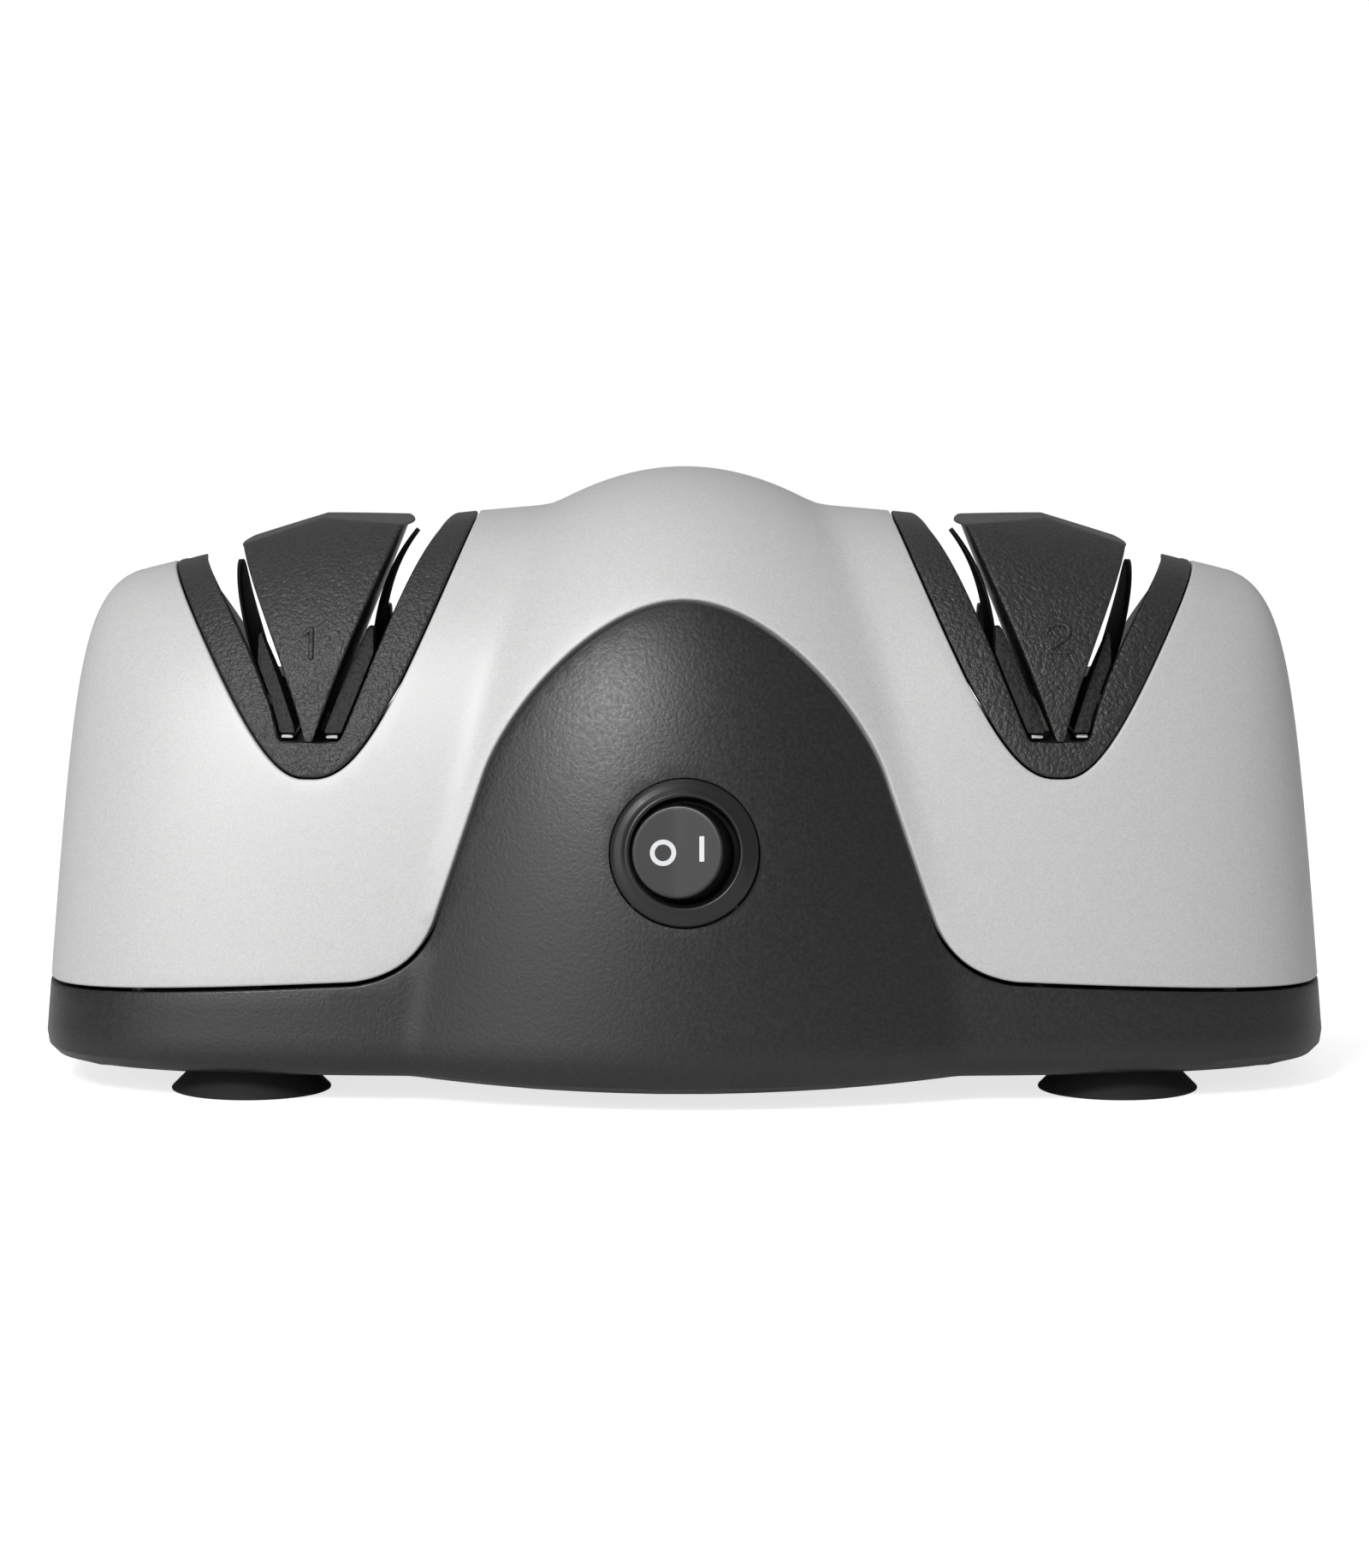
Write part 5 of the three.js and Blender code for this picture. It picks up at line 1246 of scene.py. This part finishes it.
class Graph:
    """A node tree that is written node by node."""

    def __init__(self, tree):
        self.tree = tree

    def node(self, kind, settings=None, inputs=None, output=None):
        """Adds a node of a kind: settings first, then values and links by socket identifier."""
        made = self.tree.nodes.new(kind)
        for name, value in (settings or {}).items():
            setattr(made, name, value)
        for name, value in (inputs or {}).items():
            socket = next(s for s in made.inputs if s.identifier == name)
            if isinstance(value, Term):
                self.tree.links.new(value.socket, socket)
            else:
                socket.default_value = value
        if output is None:
            return Term(self, made.outputs[0]) if made.outputs else None
        return Term(self, next(s for s in made.outputs if s.identifier == output))

    def maths(self, operation, first, second=0.0):
        return self.node("ShaderNodeMath", {"operation": operation}, {"Value": first, "Value_001": second})


# Suction feet and base screws, turned and repeated by geometry nodes
# A profile's row is a radius, a height and, on a screw's face, a 1 where the cross is pressed in.
FOOT_PROFILE = [
    (0, 2.0, 0), (3.2, 1.95, 0), (5.76, 1.6, 0), (8.6, 0.9, 0), (10.6, 0.22, 0), (11.5, 0, 0), (12.6, 0, 0),
    (12.85, 0.12, 0), (12.9, 0.34, 0), (12.75, 0.56, 0), (11.4, 1.9, 0), (10.2, 3.1, 0), (9.6, 3.9, 0),
    (3.8, 3.9, 0), (3.8, 7.7, 0), (4.8, 7.7, 0), (4.3, 9.0, 0), (3.5, 10.1, 0), (0, 10.1, 0),
]
FOOT_PLACE = (70.2, 27.6)
SCREW_PLACE = (88.0, 26.5)
SCREW_HEAD, SCREW_SHANK, SCREW_TIP = 3.1, 1.5, 1.8
THREAD_START, THREAD_DEPTH, THREAD_PITCH, THREAD_ROOT, THREAD_CREST = 1.5, 0.25, 1.25, 0.35, 0.7
CROSS_RING, CROSS_RINGS = 0.16, 14
SCREW_BOTTOM, SCREW_SEAT, SCREW_TOP = 4.5, 6.1, 30.1
CROSS_WIDTH, CROSS_REACH, CROSS_DEPTH = 0.9, 1.9, 0.9


def screw_profile():
    """A screw from the middle of its face, over the head and up the thread to its tip."""
    rows = [(CROSS_RING * k, SCREW_BOTTOM, 1) for k in range(CROSS_RINGS)]
    rows += [
        (2.6, SCREW_BOTTOM + 0.06, 0), (2.95, SCREW_BOTTOM + 0.3, 0), (SCREW_HEAD, SCREW_BOTTOM + 0.7, 0),
        (SCREW_HEAD, SCREW_SEAT - 0.1, 0), (SCREW_HEAD - 0.1, SCREW_SEAT, 0), (SCREW_SHANK, SCREW_SEAT, 0),
    ]
    root = SCREW_SHANK - THREAD_DEPTH
    for k in range(int((SCREW_TOP - SCREW_SEAT - 4) / THREAD_PITCH)):
        height = SCREW_SEAT + THREAD_START + k * THREAD_PITCH
        rows += [(root, height, 0), (root, height + THREAD_ROOT, 0), (SCREW_SHANK, height + THREAD_CREST, 0)]
    return rows + [(root, SCREW_TOP - SCREW_TIP, 0), (0, SCREW_TOP, 0)]


COPY_SIZES = ("Spread X", "Spread Y", "Cross Width", "Cross Reach", "Cross Depth")


def turned_copies(name, profile):
    """A tree that turns a profile on a grid and sets a copy at each of four corners."""
    tree = bpy.data.node_groups.new(name, "GeometryNodeTree")
    for label in COPY_SIZES:
        socket = tree.interface.new_socket(label, in_out="INPUT", socket_type="NodeSocketFloat")
        socket.subtype = "DISTANCE"
    tree.interface.new_socket("Segments", in_out="INPUT", socket_type="NodeSocketInt")
    tree.interface.new_socket("Finish", in_out="INPUT", socket_type="NodeSocketMaterial")
    tree.interface.new_socket("Geometry", in_out="OUTPUT", socket_type="NodeSocketGeometry")
    graph = Graph(tree)
    given = tree.nodes.new("NodeGroupInput")
    terms = (Term(graph, given.outputs[k]) for k in range(7))
    spread_x, spread_y, width, reach, depth, segments, finish = terms
    columns = segments + 1
    vertices = {"Vertices X": len(profile), "Vertices Y": columns}
    grid = graph.node("GeometryNodeMeshGrid", None, vertices, "Mesh")
    index = graph.node("GeometryNodeInputIndex")
    row = graph.maths("FLOOR", (index + 0.5) / columns)
    angle = (index - row * columns) / segments * (-2 * math.pi)

    def along_profile(values):
        switch = tree.nodes.new("GeometryNodeIndexSwitch")
        switch.data_type = "FLOAT"
        while len(switch.index_switch_items) < len(values):
            switch.index_switch_items.new()
        tree.links.new(row.socket, switch.inputs[0])
        for socket, value in zip(switch.inputs[1:], values):
            socket.default_value = value
        return Term(graph, switch.outputs[0])

    radius, height, face = (along_profile(values) for values in zip(*profile))
    radius, height = radius * MM, height * MM
    x, y = radius * graph.maths("COSINE", angle), radius * graph.maths("SINE", angle)
    across, along = graph.maths("ABSOLUTE", x), graph.maths("ABSOLUTE", y)

    def arm(side, length):
        return graph.maths("LESS_THAN", side, width / 2) * graph.maths("LESS_THAN", length, reach)

    pressed = graph.maths("MAXIMUM", arm(across, along), arm(along, across)) * face * depth
    place = graph.node("ShaderNodeCombineXYZ", None, {"X": x, "Y": y, "Z": height + pressed})
    moved = graph.node("GeometryNodeSetPosition", None, {"Geometry": grid, "Position": place})
    closed = graph.node("GeometryNodeMergeByDistance", None, {"Geometry": moved, "Distance": 0.00001})
    right = graph.maths("MODULO", index, 2.0) * 2 - 1
    back = graph.maths("FLOOR", index / 2) * 2 - 1
    corner = graph.node("ShaderNodeCombineXYZ", None, {"X": right * spread_x, "Y": back * spread_y})
    corners = graph.node("GeometryNodePoints", None, {"Count": 4, "Position": corner})
    copies = graph.node("GeometryNodeInstanceOnPoints", None, {"Points": corners, "Instance": closed})
    real = graph.node("GeometryNodeRealizeInstances", None, {"Geometry": copies})
    smooth = graph.node("GeometryNodeSetShadeSmooth", None, {"Geometry": real})
    done = graph.node("GeometryNodeSetMaterial", None, {"Geometry": smooth, "Material": finish})
    graph.node("NodeGroupOutput", None, {tree.interface.items_tree["Geometry"].identifier: done})
    return tree


def four_copies(name, profile, place, segments, finish, cross=(0, 0, 0)):
    """Runs the tree once and keeps its plain mesh."""
    piece = placed(name, bpy.data.meshes.new(name))
    tree = turned_copies(name, profile)
    maker = piece.modifiers.new(name, "NODES")
    maker.node_group = tree
    values = {label: size * MM for label, size in zip(COPY_SIZES, (*place, *cross))}
    for label, value in {**values, "Segments": segments, "Finish": finish}.items():
        maker[tree.interface.items_tree[label].identifier] = value
    made = settle(piece)
    if len(made.polygons) < 4 * segments * (len(profile) - 2):
        raise RuntimeError(name + " came out short")
    made.set_sharp_from_angle(angle=math.radians(40))
    return piece


# Finishes
class Finish(Graph):
    """A material built around one surface shader."""

    def __init__(self, name):
        self.material = bpy.data.materials.new("fine_" + name)
        self.material.use_nodes = True
        super().__init__(self.material.node_tree)
        self.tree.nodes.clear()
        self.place = self.node("ShaderNodeTexCoord", output="Object")

    def noise(self, size, detail=2.0, roughness=0.5, place=None):
        """A soft random value between 0 and 1 with features of about a size in metres."""
        inputs = {"Vector": place or self.place, "Scale": 1 / size, "Detail": detail, "Roughness": roughness}
        return self.node("ShaderNodeTexNoise", None, inputs, "Fac")

    def cells(self, size, output="Distance"):
        return self.node("ShaderNodeTexVoronoi", None, {"Vector": self.place, "Scale": 1 / size}, output)

    def between(self, value, low, high, to_low=0.0, to_high=1.0):
        inputs = {"Value": value, "From Min": low, "From Max": high, "To Min": to_low, "To Max": to_high}
        return self.node("ShaderNodeMapRange", {"clamp": True}, inputs)

    def tint(self, share, low, high):
        """A colour between two others."""
        inputs = {"Factor_Float": share, "A_Color": low, "B_Color": high}
        return self.node("ShaderNodeMix", {"data_type": "RGBA"}, inputs, "Result_Color")

    def bump(self, height, distance):
        return self.node("ShaderNodeBump", None, {"Height": height, "Distance": distance, "Strength": 1.0})

    def done(self, inputs):
        shader = self.node("ShaderNodeBsdfPrincipled", None, inputs)
        self.node("ShaderNodeOutputMaterial", None, {"Surface": shader})
        return self.material


def grey(level, warmth=0.0):
    """A near-neutral colour; warmth shifts it to red or, below zero, to blue."""
    return (level * (1 + warmth), level, level * (1 - warmth), 1.0)


def scaled(colour, share):
    """A darker or lighter colour of the same hue."""
    return tuple(min(1.0, share * part) for part in colour[:3]) + (1.0,)


def silver_paint(level):
    finish = Finish("silver_paint")
    flakes = finish.cells(0.00022, "Color")
    sparkle = finish.between(finish.node("ShaderNodeSeparateColor", None, {"Color": flakes}), 0.0, 1.0)
    colour = finish.tint(sparkle, grey(level * 0.93, 0.004), grey(level * 1.06, 0.004))
    normal = finish.bump(finish.noise(0.0011, 2.0), 0.000012)
    return finish.done({
        "Base Color": colour, "Metallic": 0.15, "Roughness": sparkle * 0.08 + 0.46, "Normal": normal})


def moulded(name, level, roughness, grain, depth, fleck=0.0, sheen=0.5):
    """Moulded plastic with a grained skin; sheen is how strongly it mirrors."""
    finish = Finish(name)
    grains = finish.noise(grain, 3.0, 0.55)
    colour = grey(level)
    if fleck:
        colour = finish.tint(finish.between(grains, 0.42, 0.66), grey(level), grey(level + fleck))
    return finish.done({
        "Base Color": colour,
        "Roughness": finish.between(grains, 0.3, 0.7, roughness - 0.06, roughness + 0.06),
        "Normal": finish.bump(grains, depth), "Specular IOR Level": sheen,
    })


def gloss(name, colour, roughness, coat=0.0):
    finish = Finish(name)
    waves = finish.noise(0.004, 2.0)
    return finish.done({
        "Base Color": finish.tint(waves, scaled(colour, 0.96), colour),
        "Roughness": waves * 0.06 + roughness, "Coat Weight": coat, "Coat Roughness": 0.08,
    })


def metal(name, colour, roughness, grain=0.0006, streak=(1, 1, 1)):
    """Bare metal with faint streaks or mottling."""
    finish = Finish(name)
    place = finish.node("ShaderNodeMapping", None, {"Vector": finish.place, "Scale": streak})
    marks = finish.noise(grain, 3.0, 0.6, place)
    return finish.done({
        "Base Color": finish.tint(marks, scaled(colour, 0.86), colour),
        "Metallic": 1.0, "Roughness": finish.between(marks, 0.25, 0.75, roughness - 0.08, roughness + 0.1),
        "Normal": finish.bump(marks, 0.000008),
    })


def abrasive(name, colour, grit):
    finish = Finish(name)
    grains = finish.cells(grit, "Color")
    shade = finish.node("ShaderNodeSeparateColor", None, {"Color": grains})
    lump = finish.cells(grit)
    return finish.done({
        "Base Color": finish.tint(shade, scaled(colour, 0.5), scaled(colour, 1.5)), "Roughness": 0.85,
        "Normal": finish.bump(lump, grit * 0.4),
    })


def make_finishes(tones):
    """Every finish, under its record slot's name where the record has one for it."""
    silver_paint(tones.silver)
    moulded("black_plastic", tones.black, 0.4, 0.0006, 0.00006, 0.006, 0.7)
    moulded("liner_plastic", tones.liner, 0.38, 0.0007, 0.0004, 0.012, 0.75)
    moulded("guide_plastic", tones.guide, 0.55, 0.0007, 0.0003, 0.02, 0.35)
    gloss("gloss_plastic", grey(0.011), 0.3, 0.1)
    moulded("leaf_black", 0.004, 0.62, 0.0008, 0.00002, 0.003, 0.15)
    moulded("rubber", 0.014, 0.75, 0.0004, 0.00002)
    metal("bright_steel", (0.86, 0.86, 0.87, 1.0), 0.22, 0.0008, (1, 0.1, 1))
    metal("screw_steel", (0.62, 0.63, 0.66, 1.0), 0.35)
    metal("shaft_steel", (0.55, 0.55, 0.56, 1.0), 0.25, 0.0005, (0.1, 1, 1))
    metal("dark_steel", (0.22, 0.22, 0.23, 1.0), 0.45, 0.002)
    metal("copper", (0.72, 0.3, 0.12, 1.0), 0.3, 0.0009, (0.05, 1, 1))
    metal("brass", (0.75, 0.55, 0.22, 1.0), 0.3)
    moulded("carbon", 0.02, 0.6, 0.0003, 0.00004)
    moulded("ferrite", 0.05, 0.7, 0.0006, 0.00005, 0.02)
    abrasive("coarse_stone", (0.3, 0.31, 0.33, 1.0), 0.0007)
    abrasive("fine_stone", (0.62, 0.56, 0.5, 1.0), 0.00035)
    moulded("board", 0.1, 0.5, 0.0015, 0.00002, 0.03)
    moulded("white_plastic", 0.72, 0.5, 0.0008, 0.00002, 0.03)
    gloss("mark_white", (0.8, 0.82, 0.84, 1.0), 0.4)


# Stage
CAMERA_PLACE = (0.0, -0.8874, 0.142)
CAMERA_PITCH = math.radians(90 - 6.14)
CAMERA_LENS = 123.2
SENSOR = 36.0
LIGHT_AIM = (0, 0, 0.05)
LIGHTS = (
    ("key_light", (-0.46, -1.0, 0.84), 0.4, 0.4, 9.1),
    ("overhead_light", (-0.3, 0, 1.1), 0.9, 0.7, 1.2),
    ("left_light", (-0.7, -1.1, 0.3), 0.9, 0.5, 2.2),
)
WORLD_LEVEL, WORLD_MIRRORED = 0.3, 0.03
FLOOR_REACH, FLOOR_LIFT, FLOOR_MIRRORED = 4000, 0.75, 0.15


def area_light(name, place, width, height, power):
    data = bpy.data.lights.new(name, "AREA")
    data.shape = "RECTANGLE"
    data.size, data.size_y = width, height
    data.energy = power
    light = placed(name, data)
    light.location = place
    light.rotation_euler = (Vector(LIGHT_AIM) - Vector(place)).to_track_quat("-Z", "Y").to_euler()


def open_rays(graph, glossy):
    """1 for a ray that should meet pure white, less for a mirrored one, 0 for soft light."""
    kinds = ("Camera", "Glossy", "Transmission")
    camera, mirror, through = (graph.node("ShaderNodeLightPath", output=f"Is {kind} Ray") for kind in kinds)
    return graph.maths("MAXIMUM", graph.maths("MAXIMUM", camera, through), mirror * glossy)


def white_world(level, glossy):
    world = bpy.data.worlds.new("white_studio")
    world.use_nodes = True
    world.node_tree.nodes.clear()
    graph = Graph(world.node_tree)
    strength = open_rays(graph, glossy) * (1 - level) + level
    lit = graph.node("ShaderNodeBackground", None, {"Color": (1, 1, 1, 1), "Strength": strength})
    graph.node("ShaderNodeOutputWorld", None, {"Surface": lit})
    bpy.context.scene.world = world


def pale_floor(lift, glossy):
    """A floor that reads as white where no shadow falls on it."""
    shape = Shape()
    corners = [(x * FLOOR_REACH, y * FLOOR_REACH, 0) for x, y in ((-1, -1), (1, -1), (1, 1), (-1, 1))]
    shape.face(*shape.add(corners))
    finish = Finish("pale_floor")
    surface = {"Base Color": finish.tint(finish.noise(0.4), grey(0.8), grey(0.81)), "Roughness": 0.9}
    lit = finish.node("ShaderNodeBsdfPrincipled", None, surface)
    raised = {**surface, "Emission Color": (1, 1, 1, 1), "Emission Strength": lift}
    seen = finish.node("ShaderNodeBsdfPrincipled", None, raised)
    mixed = finish.node(
        "ShaderNodeMixShader", None, {"Fac": open_rays(finish, glossy), "Shader": lit, "Shader_001": seen})
    finish.node("ShaderNodeOutputMaterial", None, {"Surface": mixed})
    return shape.piece("floor", finish.material)


# Sizes, tones and operators
class SharpenerSizes(bpy.types.PropertyGroup):
    edge_radius: bpy.props.FloatProperty(
        name="Edge radius", description="Rounding of the shells' free edges", default=0.0004,
        unit="LENGTH", subtype="DISTANCE")
    rim_radius: bpy.props.FloatProperty(
        name="Rim radius", description="Rounding of the liner and wedge rims", default=0.0004,
        unit="LENGTH", subtype="DISTANCE")
    liner_gap: bpy.props.FloatProperty(
        name="Liner gap", description="Dark line between a notch's silver edge and its liner", default=0.0003,
        unit="LENGTH", subtype="DISTANCE")
    mesh_step: bpy.props.FloatProperty(
        name="Mesh step", description="Spacing of the faces on the large shells", default=0.002,
        unit="LENGTH", subtype="DISTANCE")
    numeral_width: bpy.props.FloatProperty(
        name="Numeral stroke", description="Width of the moulded numerals' strokes", default=0.0009,
        unit="LENGTH", subtype="DISTANCE")
    numeral_height: bpy.props.FloatProperty(
        name="Numeral height", description="How far the moulded numerals stand out", default=0.00035,
        unit="LENGTH", subtype="DISTANCE")
    leaf_thickness: bpy.props.FloatProperty(
        name="Leaf thickness", description="Thickness of the leaf springs in the slots", default=0.0008,
        unit="LENGTH", subtype="DISTANCE")


class SharpenerTones(bpy.types.PropertyGroup):
    silver: bpy.props.FloatProperty(
        name="Silver", description="Lightness of the metallic paint", default=0.65, subtype="FACTOR")
    black: bpy.props.FloatProperty(
        name="Black", description="Lightness of the base's plastic", default=0.005, subtype="FACTOR")
    liner: bpy.props.FloatProperty(
        name="Liner", description="Lightness of the notch liners and wedges", default=0.007, subtype="FACTOR")
    guide: bpy.props.FloatProperty(
        name="Guides", description="Lightness of the blade guide pads", default=0.012, subtype="FACTOR")


CORNERS = ("front_left", "front_right", "rear_right", "rear_left")


class Builder:
    """What every one of the sharpener's operators does with a piece."""

    def finish(self, name):
        return bpy.data.materials["fine_" + name]

    def carry(self, piece, body, slot_name, *replaced):
        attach(piece, body)
        if replaced:
            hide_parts(*replaced)


class SHARPENER_OT_finishes(Builder, bpy.types.Operator):
    """Make every finish"""
    bl_idname = "sharpener.finishes"
    bl_label = "Finishes"

    def execute(self, context):
        make_finishes(context.scene.sharpener_tones)
        return {"FINISHED"}


class SHARPENER_OT_cover(Builder, bpy.types.Operator):
    """Build the silver top cover"""
    bl_idname = "sharpener.cover"
    bl_label = "Top cover"

    def execute(self, context):
        shell = top_cover(context.scene.sharpener_sizes, self.finish("silver_paint"))
        self.carry(shell, "housing", "silver_paint", "top_cover")
        return {"FINISHED"}


class SHARPENER_OT_base(Builder, bpy.types.Operator):
    """Build the black base with its arched front panel"""
    bl_idname = "sharpener.base"
    bl_label = "Base and panel"

    def execute(self, context):
        shell = base_housing(context.scene.sharpener_sizes, self.finish("black_plastic"))
        self.carry(shell, "housing", "black_plastic", "base_housing")
        return {"FINISHED"}


class SHARPENER_OT_stages(Builder, bpy.types.Operator):
    """Build the notch liners, the wedges and their numerals"""
    bl_idname = "sharpener.stages"
    bl_label = "Notch liners and wedges"

    def execute(self, context):
        sizes, plastic = context.scene.sharpener_sizes, self.finish("liner_plastic")
        for stage in (-1, 1):
            name = stage_name(stage)
            self.carry(stage_liner(stage, sizes, plastic), "housing", "liner_plastic", name + "_liner")
            self.carry(wedge(stage, sizes, plastic), "housing", "liner_plastic", name + "_wedge")
            self.carry(moulded_numeral(stage, sizes, plastic), "housing", "liner_plastic")
        return {"FINISHED"}


class SHARPENER_OT_guides(Builder, bpy.types.Operator):
    """Build the blade guide pads, their clips and the leaf springs"""
    bl_idname = "sharpener.guides"
    bl_label = "Blade guides"

    def execute(self, context):
        sizes = context.scene.sharpener_sizes
        for stage in (-1, 1):
            for slot in (-1, 1):
                name = guide_name(stage, slot)
                pads = guide_pads(stage, slot, self.finish("guide_plastic"))
                self.carry(pads, "housing", "guide_plastic", name + "_guide_pads")
                clip = guide_clip(stage, slot, self.finish("bright_steel"))
                self.carry(clip, "housing", "bright_steel", name + "_guide_clip")
                leaf = leaf_spring(stage, slot, sizes, self.finish("leaf_black"))
                self.carry(leaf, name + "_leaf", "dark_steel", name + "_leaf_spring")
        return {"FINISHED"}


class SHARPENER_OT_switch(Builder, bpy.types.Operator):
    """Build the round rocker switch with its marks"""
    bl_idname = "sharpener.switch"
    bl_label = "Rocker switch"

    def execute(self, context):
        plastic, white = self.finish("gloss_plastic"), self.finish("mark_white")
        self.carry(switch_housing(plastic), "housing", "gloss_plastic", "switch_body")
        self.carry(rocker_key(plastic), "rocker", "gloss_plastic", "switch_rocker")
        ring = (circle_line(MARK_OFF, radius) for radius in MARK_OFF_RADII)
        self.carry(printed_mark("switch_mark_off", *ring, white), "rocker", "white_plastic")
        line = bar_line(MARK_ON, MARK_ON_HALF, MARK_CORNER)
        self.carry(printed_mark("switch_mark_on", None, line, white), "rocker", "white_plastic")
        return {"FINISHED"}


class SHARPENER_OT_gland(Builder, bpy.types.Operator):
    """Build the cord gland in the rear skirt"""
    bl_idname = "sharpener.gland"
    bl_label = "Cord gland"

    def execute(self, context):
        self.carry(cord_gland(self.finish("rubber")), "housing", "rubber", "cord_gland")
        return {"FINISHED"}


class SHARPENER_OT_feet(Builder, bpy.types.Operator):
    """Set the four suction feet"""
    bl_idname = "sharpener.feet"
    bl_label = "Suction feet"

    def execute(self, context):
        feet = four_copies("suction_feet", FOOT_PROFILE, FOOT_PLACE, 96, self.finish("rubber"))
        self.carry(feet, "housing", "rubber", *(f"suction_foot_{place}" for place in CORNERS))
        return {"FINISHED"}


class SHARPENER_OT_screws(Builder, bpy.types.Operator):
    """Set the four screws that hold the base plate"""
    bl_idname = "sharpener.screws"
    bl_label = "Base screws"

    def execute(self, context):
        cross = (CROSS_WIDTH, CROSS_REACH, CROSS_DEPTH)
        steel = self.finish("screw_steel")
        screws = four_copies("base_screws", screw_profile(), SCREW_PLACE, 48, steel, cross)
        self.carry(screws, "housing", "screw_steel", *(f"base_screw_{place}" for place in CORNERS))
        return {"FINISHED"}


class SHARPENER_OT_works(Builder, bpy.types.Operator):
    """Give the motor, shaft, wheels and other inner parts their finishes"""
    bl_idname = "sharpener.works"
    bl_label = "Inner parts"

    def execute(self, context):
        for part in frame["record"]["subparts"]:
            node = frame["nodes"][part["node"]]
            if not node.hide_render:
                node.data.materials.clear()
                node.data.materials.append(self.finish(part["material_slot"]))
        return {"FINISHED"}


class SHARPENER_OT_stage(Builder, bpy.types.Operator):
    """Set up the camera, lights, white world and floor"""
    bl_idname = "sharpener.stage"
    bl_label = "Stage"

    def execute(self, context):
        scene = context.scene
        scene.view_settings.view_transform = "Standard"
        data = bpy.data.cameras.new("camera")
        data.lens = CAMERA_LENS
        data.sensor_fit = "VERTICAL"
        data.sensor_height = SENSOR
        camera = placed("camera", data)
        camera.location = CAMERA_PLACE
        camera.rotation_euler = (CAMERA_PITCH, 0, 0)
        scene.camera = camera
        for light in LIGHTS:
            area_light(*light)
        white_world(WORLD_LEVEL, WORLD_MIRRORED)
        pale_floor(FLOOR_LIFT, FLOOR_MIRRORED)
        return {"FINISHED"}


OPERATORS = (
    SHARPENER_OT_finishes, SHARPENER_OT_cover, SHARPENER_OT_base, SHARPENER_OT_stages, SHARPENER_OT_guides,
    SHARPENER_OT_switch, SHARPENER_OT_gland, SHARPENER_OT_feet, SHARPENER_OT_screws,
    SHARPENER_OT_works, SHARPENER_OT_stage,
)


class SHARPENER_PT_panel(bpy.types.Panel):
    bl_label = "Sharpener"
    bl_idname = "SHARPENER_PT_panel"
    bl_space_type = "VIEW_3D"
    bl_region_type = "UI"
    bl_category = "Sharpener"

    def draw(self, context):
        column = self.layout.column()
        for name in SharpenerSizes.__annotations__:
            column.prop(context.scene.sharpener_sizes, name)
        for name in SharpenerTones.__annotations__:
            column.prop(context.scene.sharpener_tones, name)
        for kind in OPERATORS:
            column.operator(kind.bl_idname)


CLASSES = (SharpenerSizes, SharpenerTones, *OPERATORS, SHARPENER_PT_panel)


def register():
    for kind in CLASSES:
        bpy.utils.register_class(kind)
    bpy.types.Scene.sharpener_sizes = bpy.props.PointerProperty(type=SharpenerSizes)
    bpy.types.Scene.sharpener_tones = bpy.props.PointerProperty(type=SharpenerTones)


def unregister():
    del bpy.types.Scene.sharpener_tones
    del bpy.types.Scene.sharpener_sizes
    for kind in reversed(CLASSES):
        bpy.utils.unregister_class(kind)


def main():
    register()
    for kind in OPERATORS:
        family, name = kind.bl_idname.split(".")
        getattr(getattr(bpy.ops, family), name)()


if __name__ == "__main__":
    main()
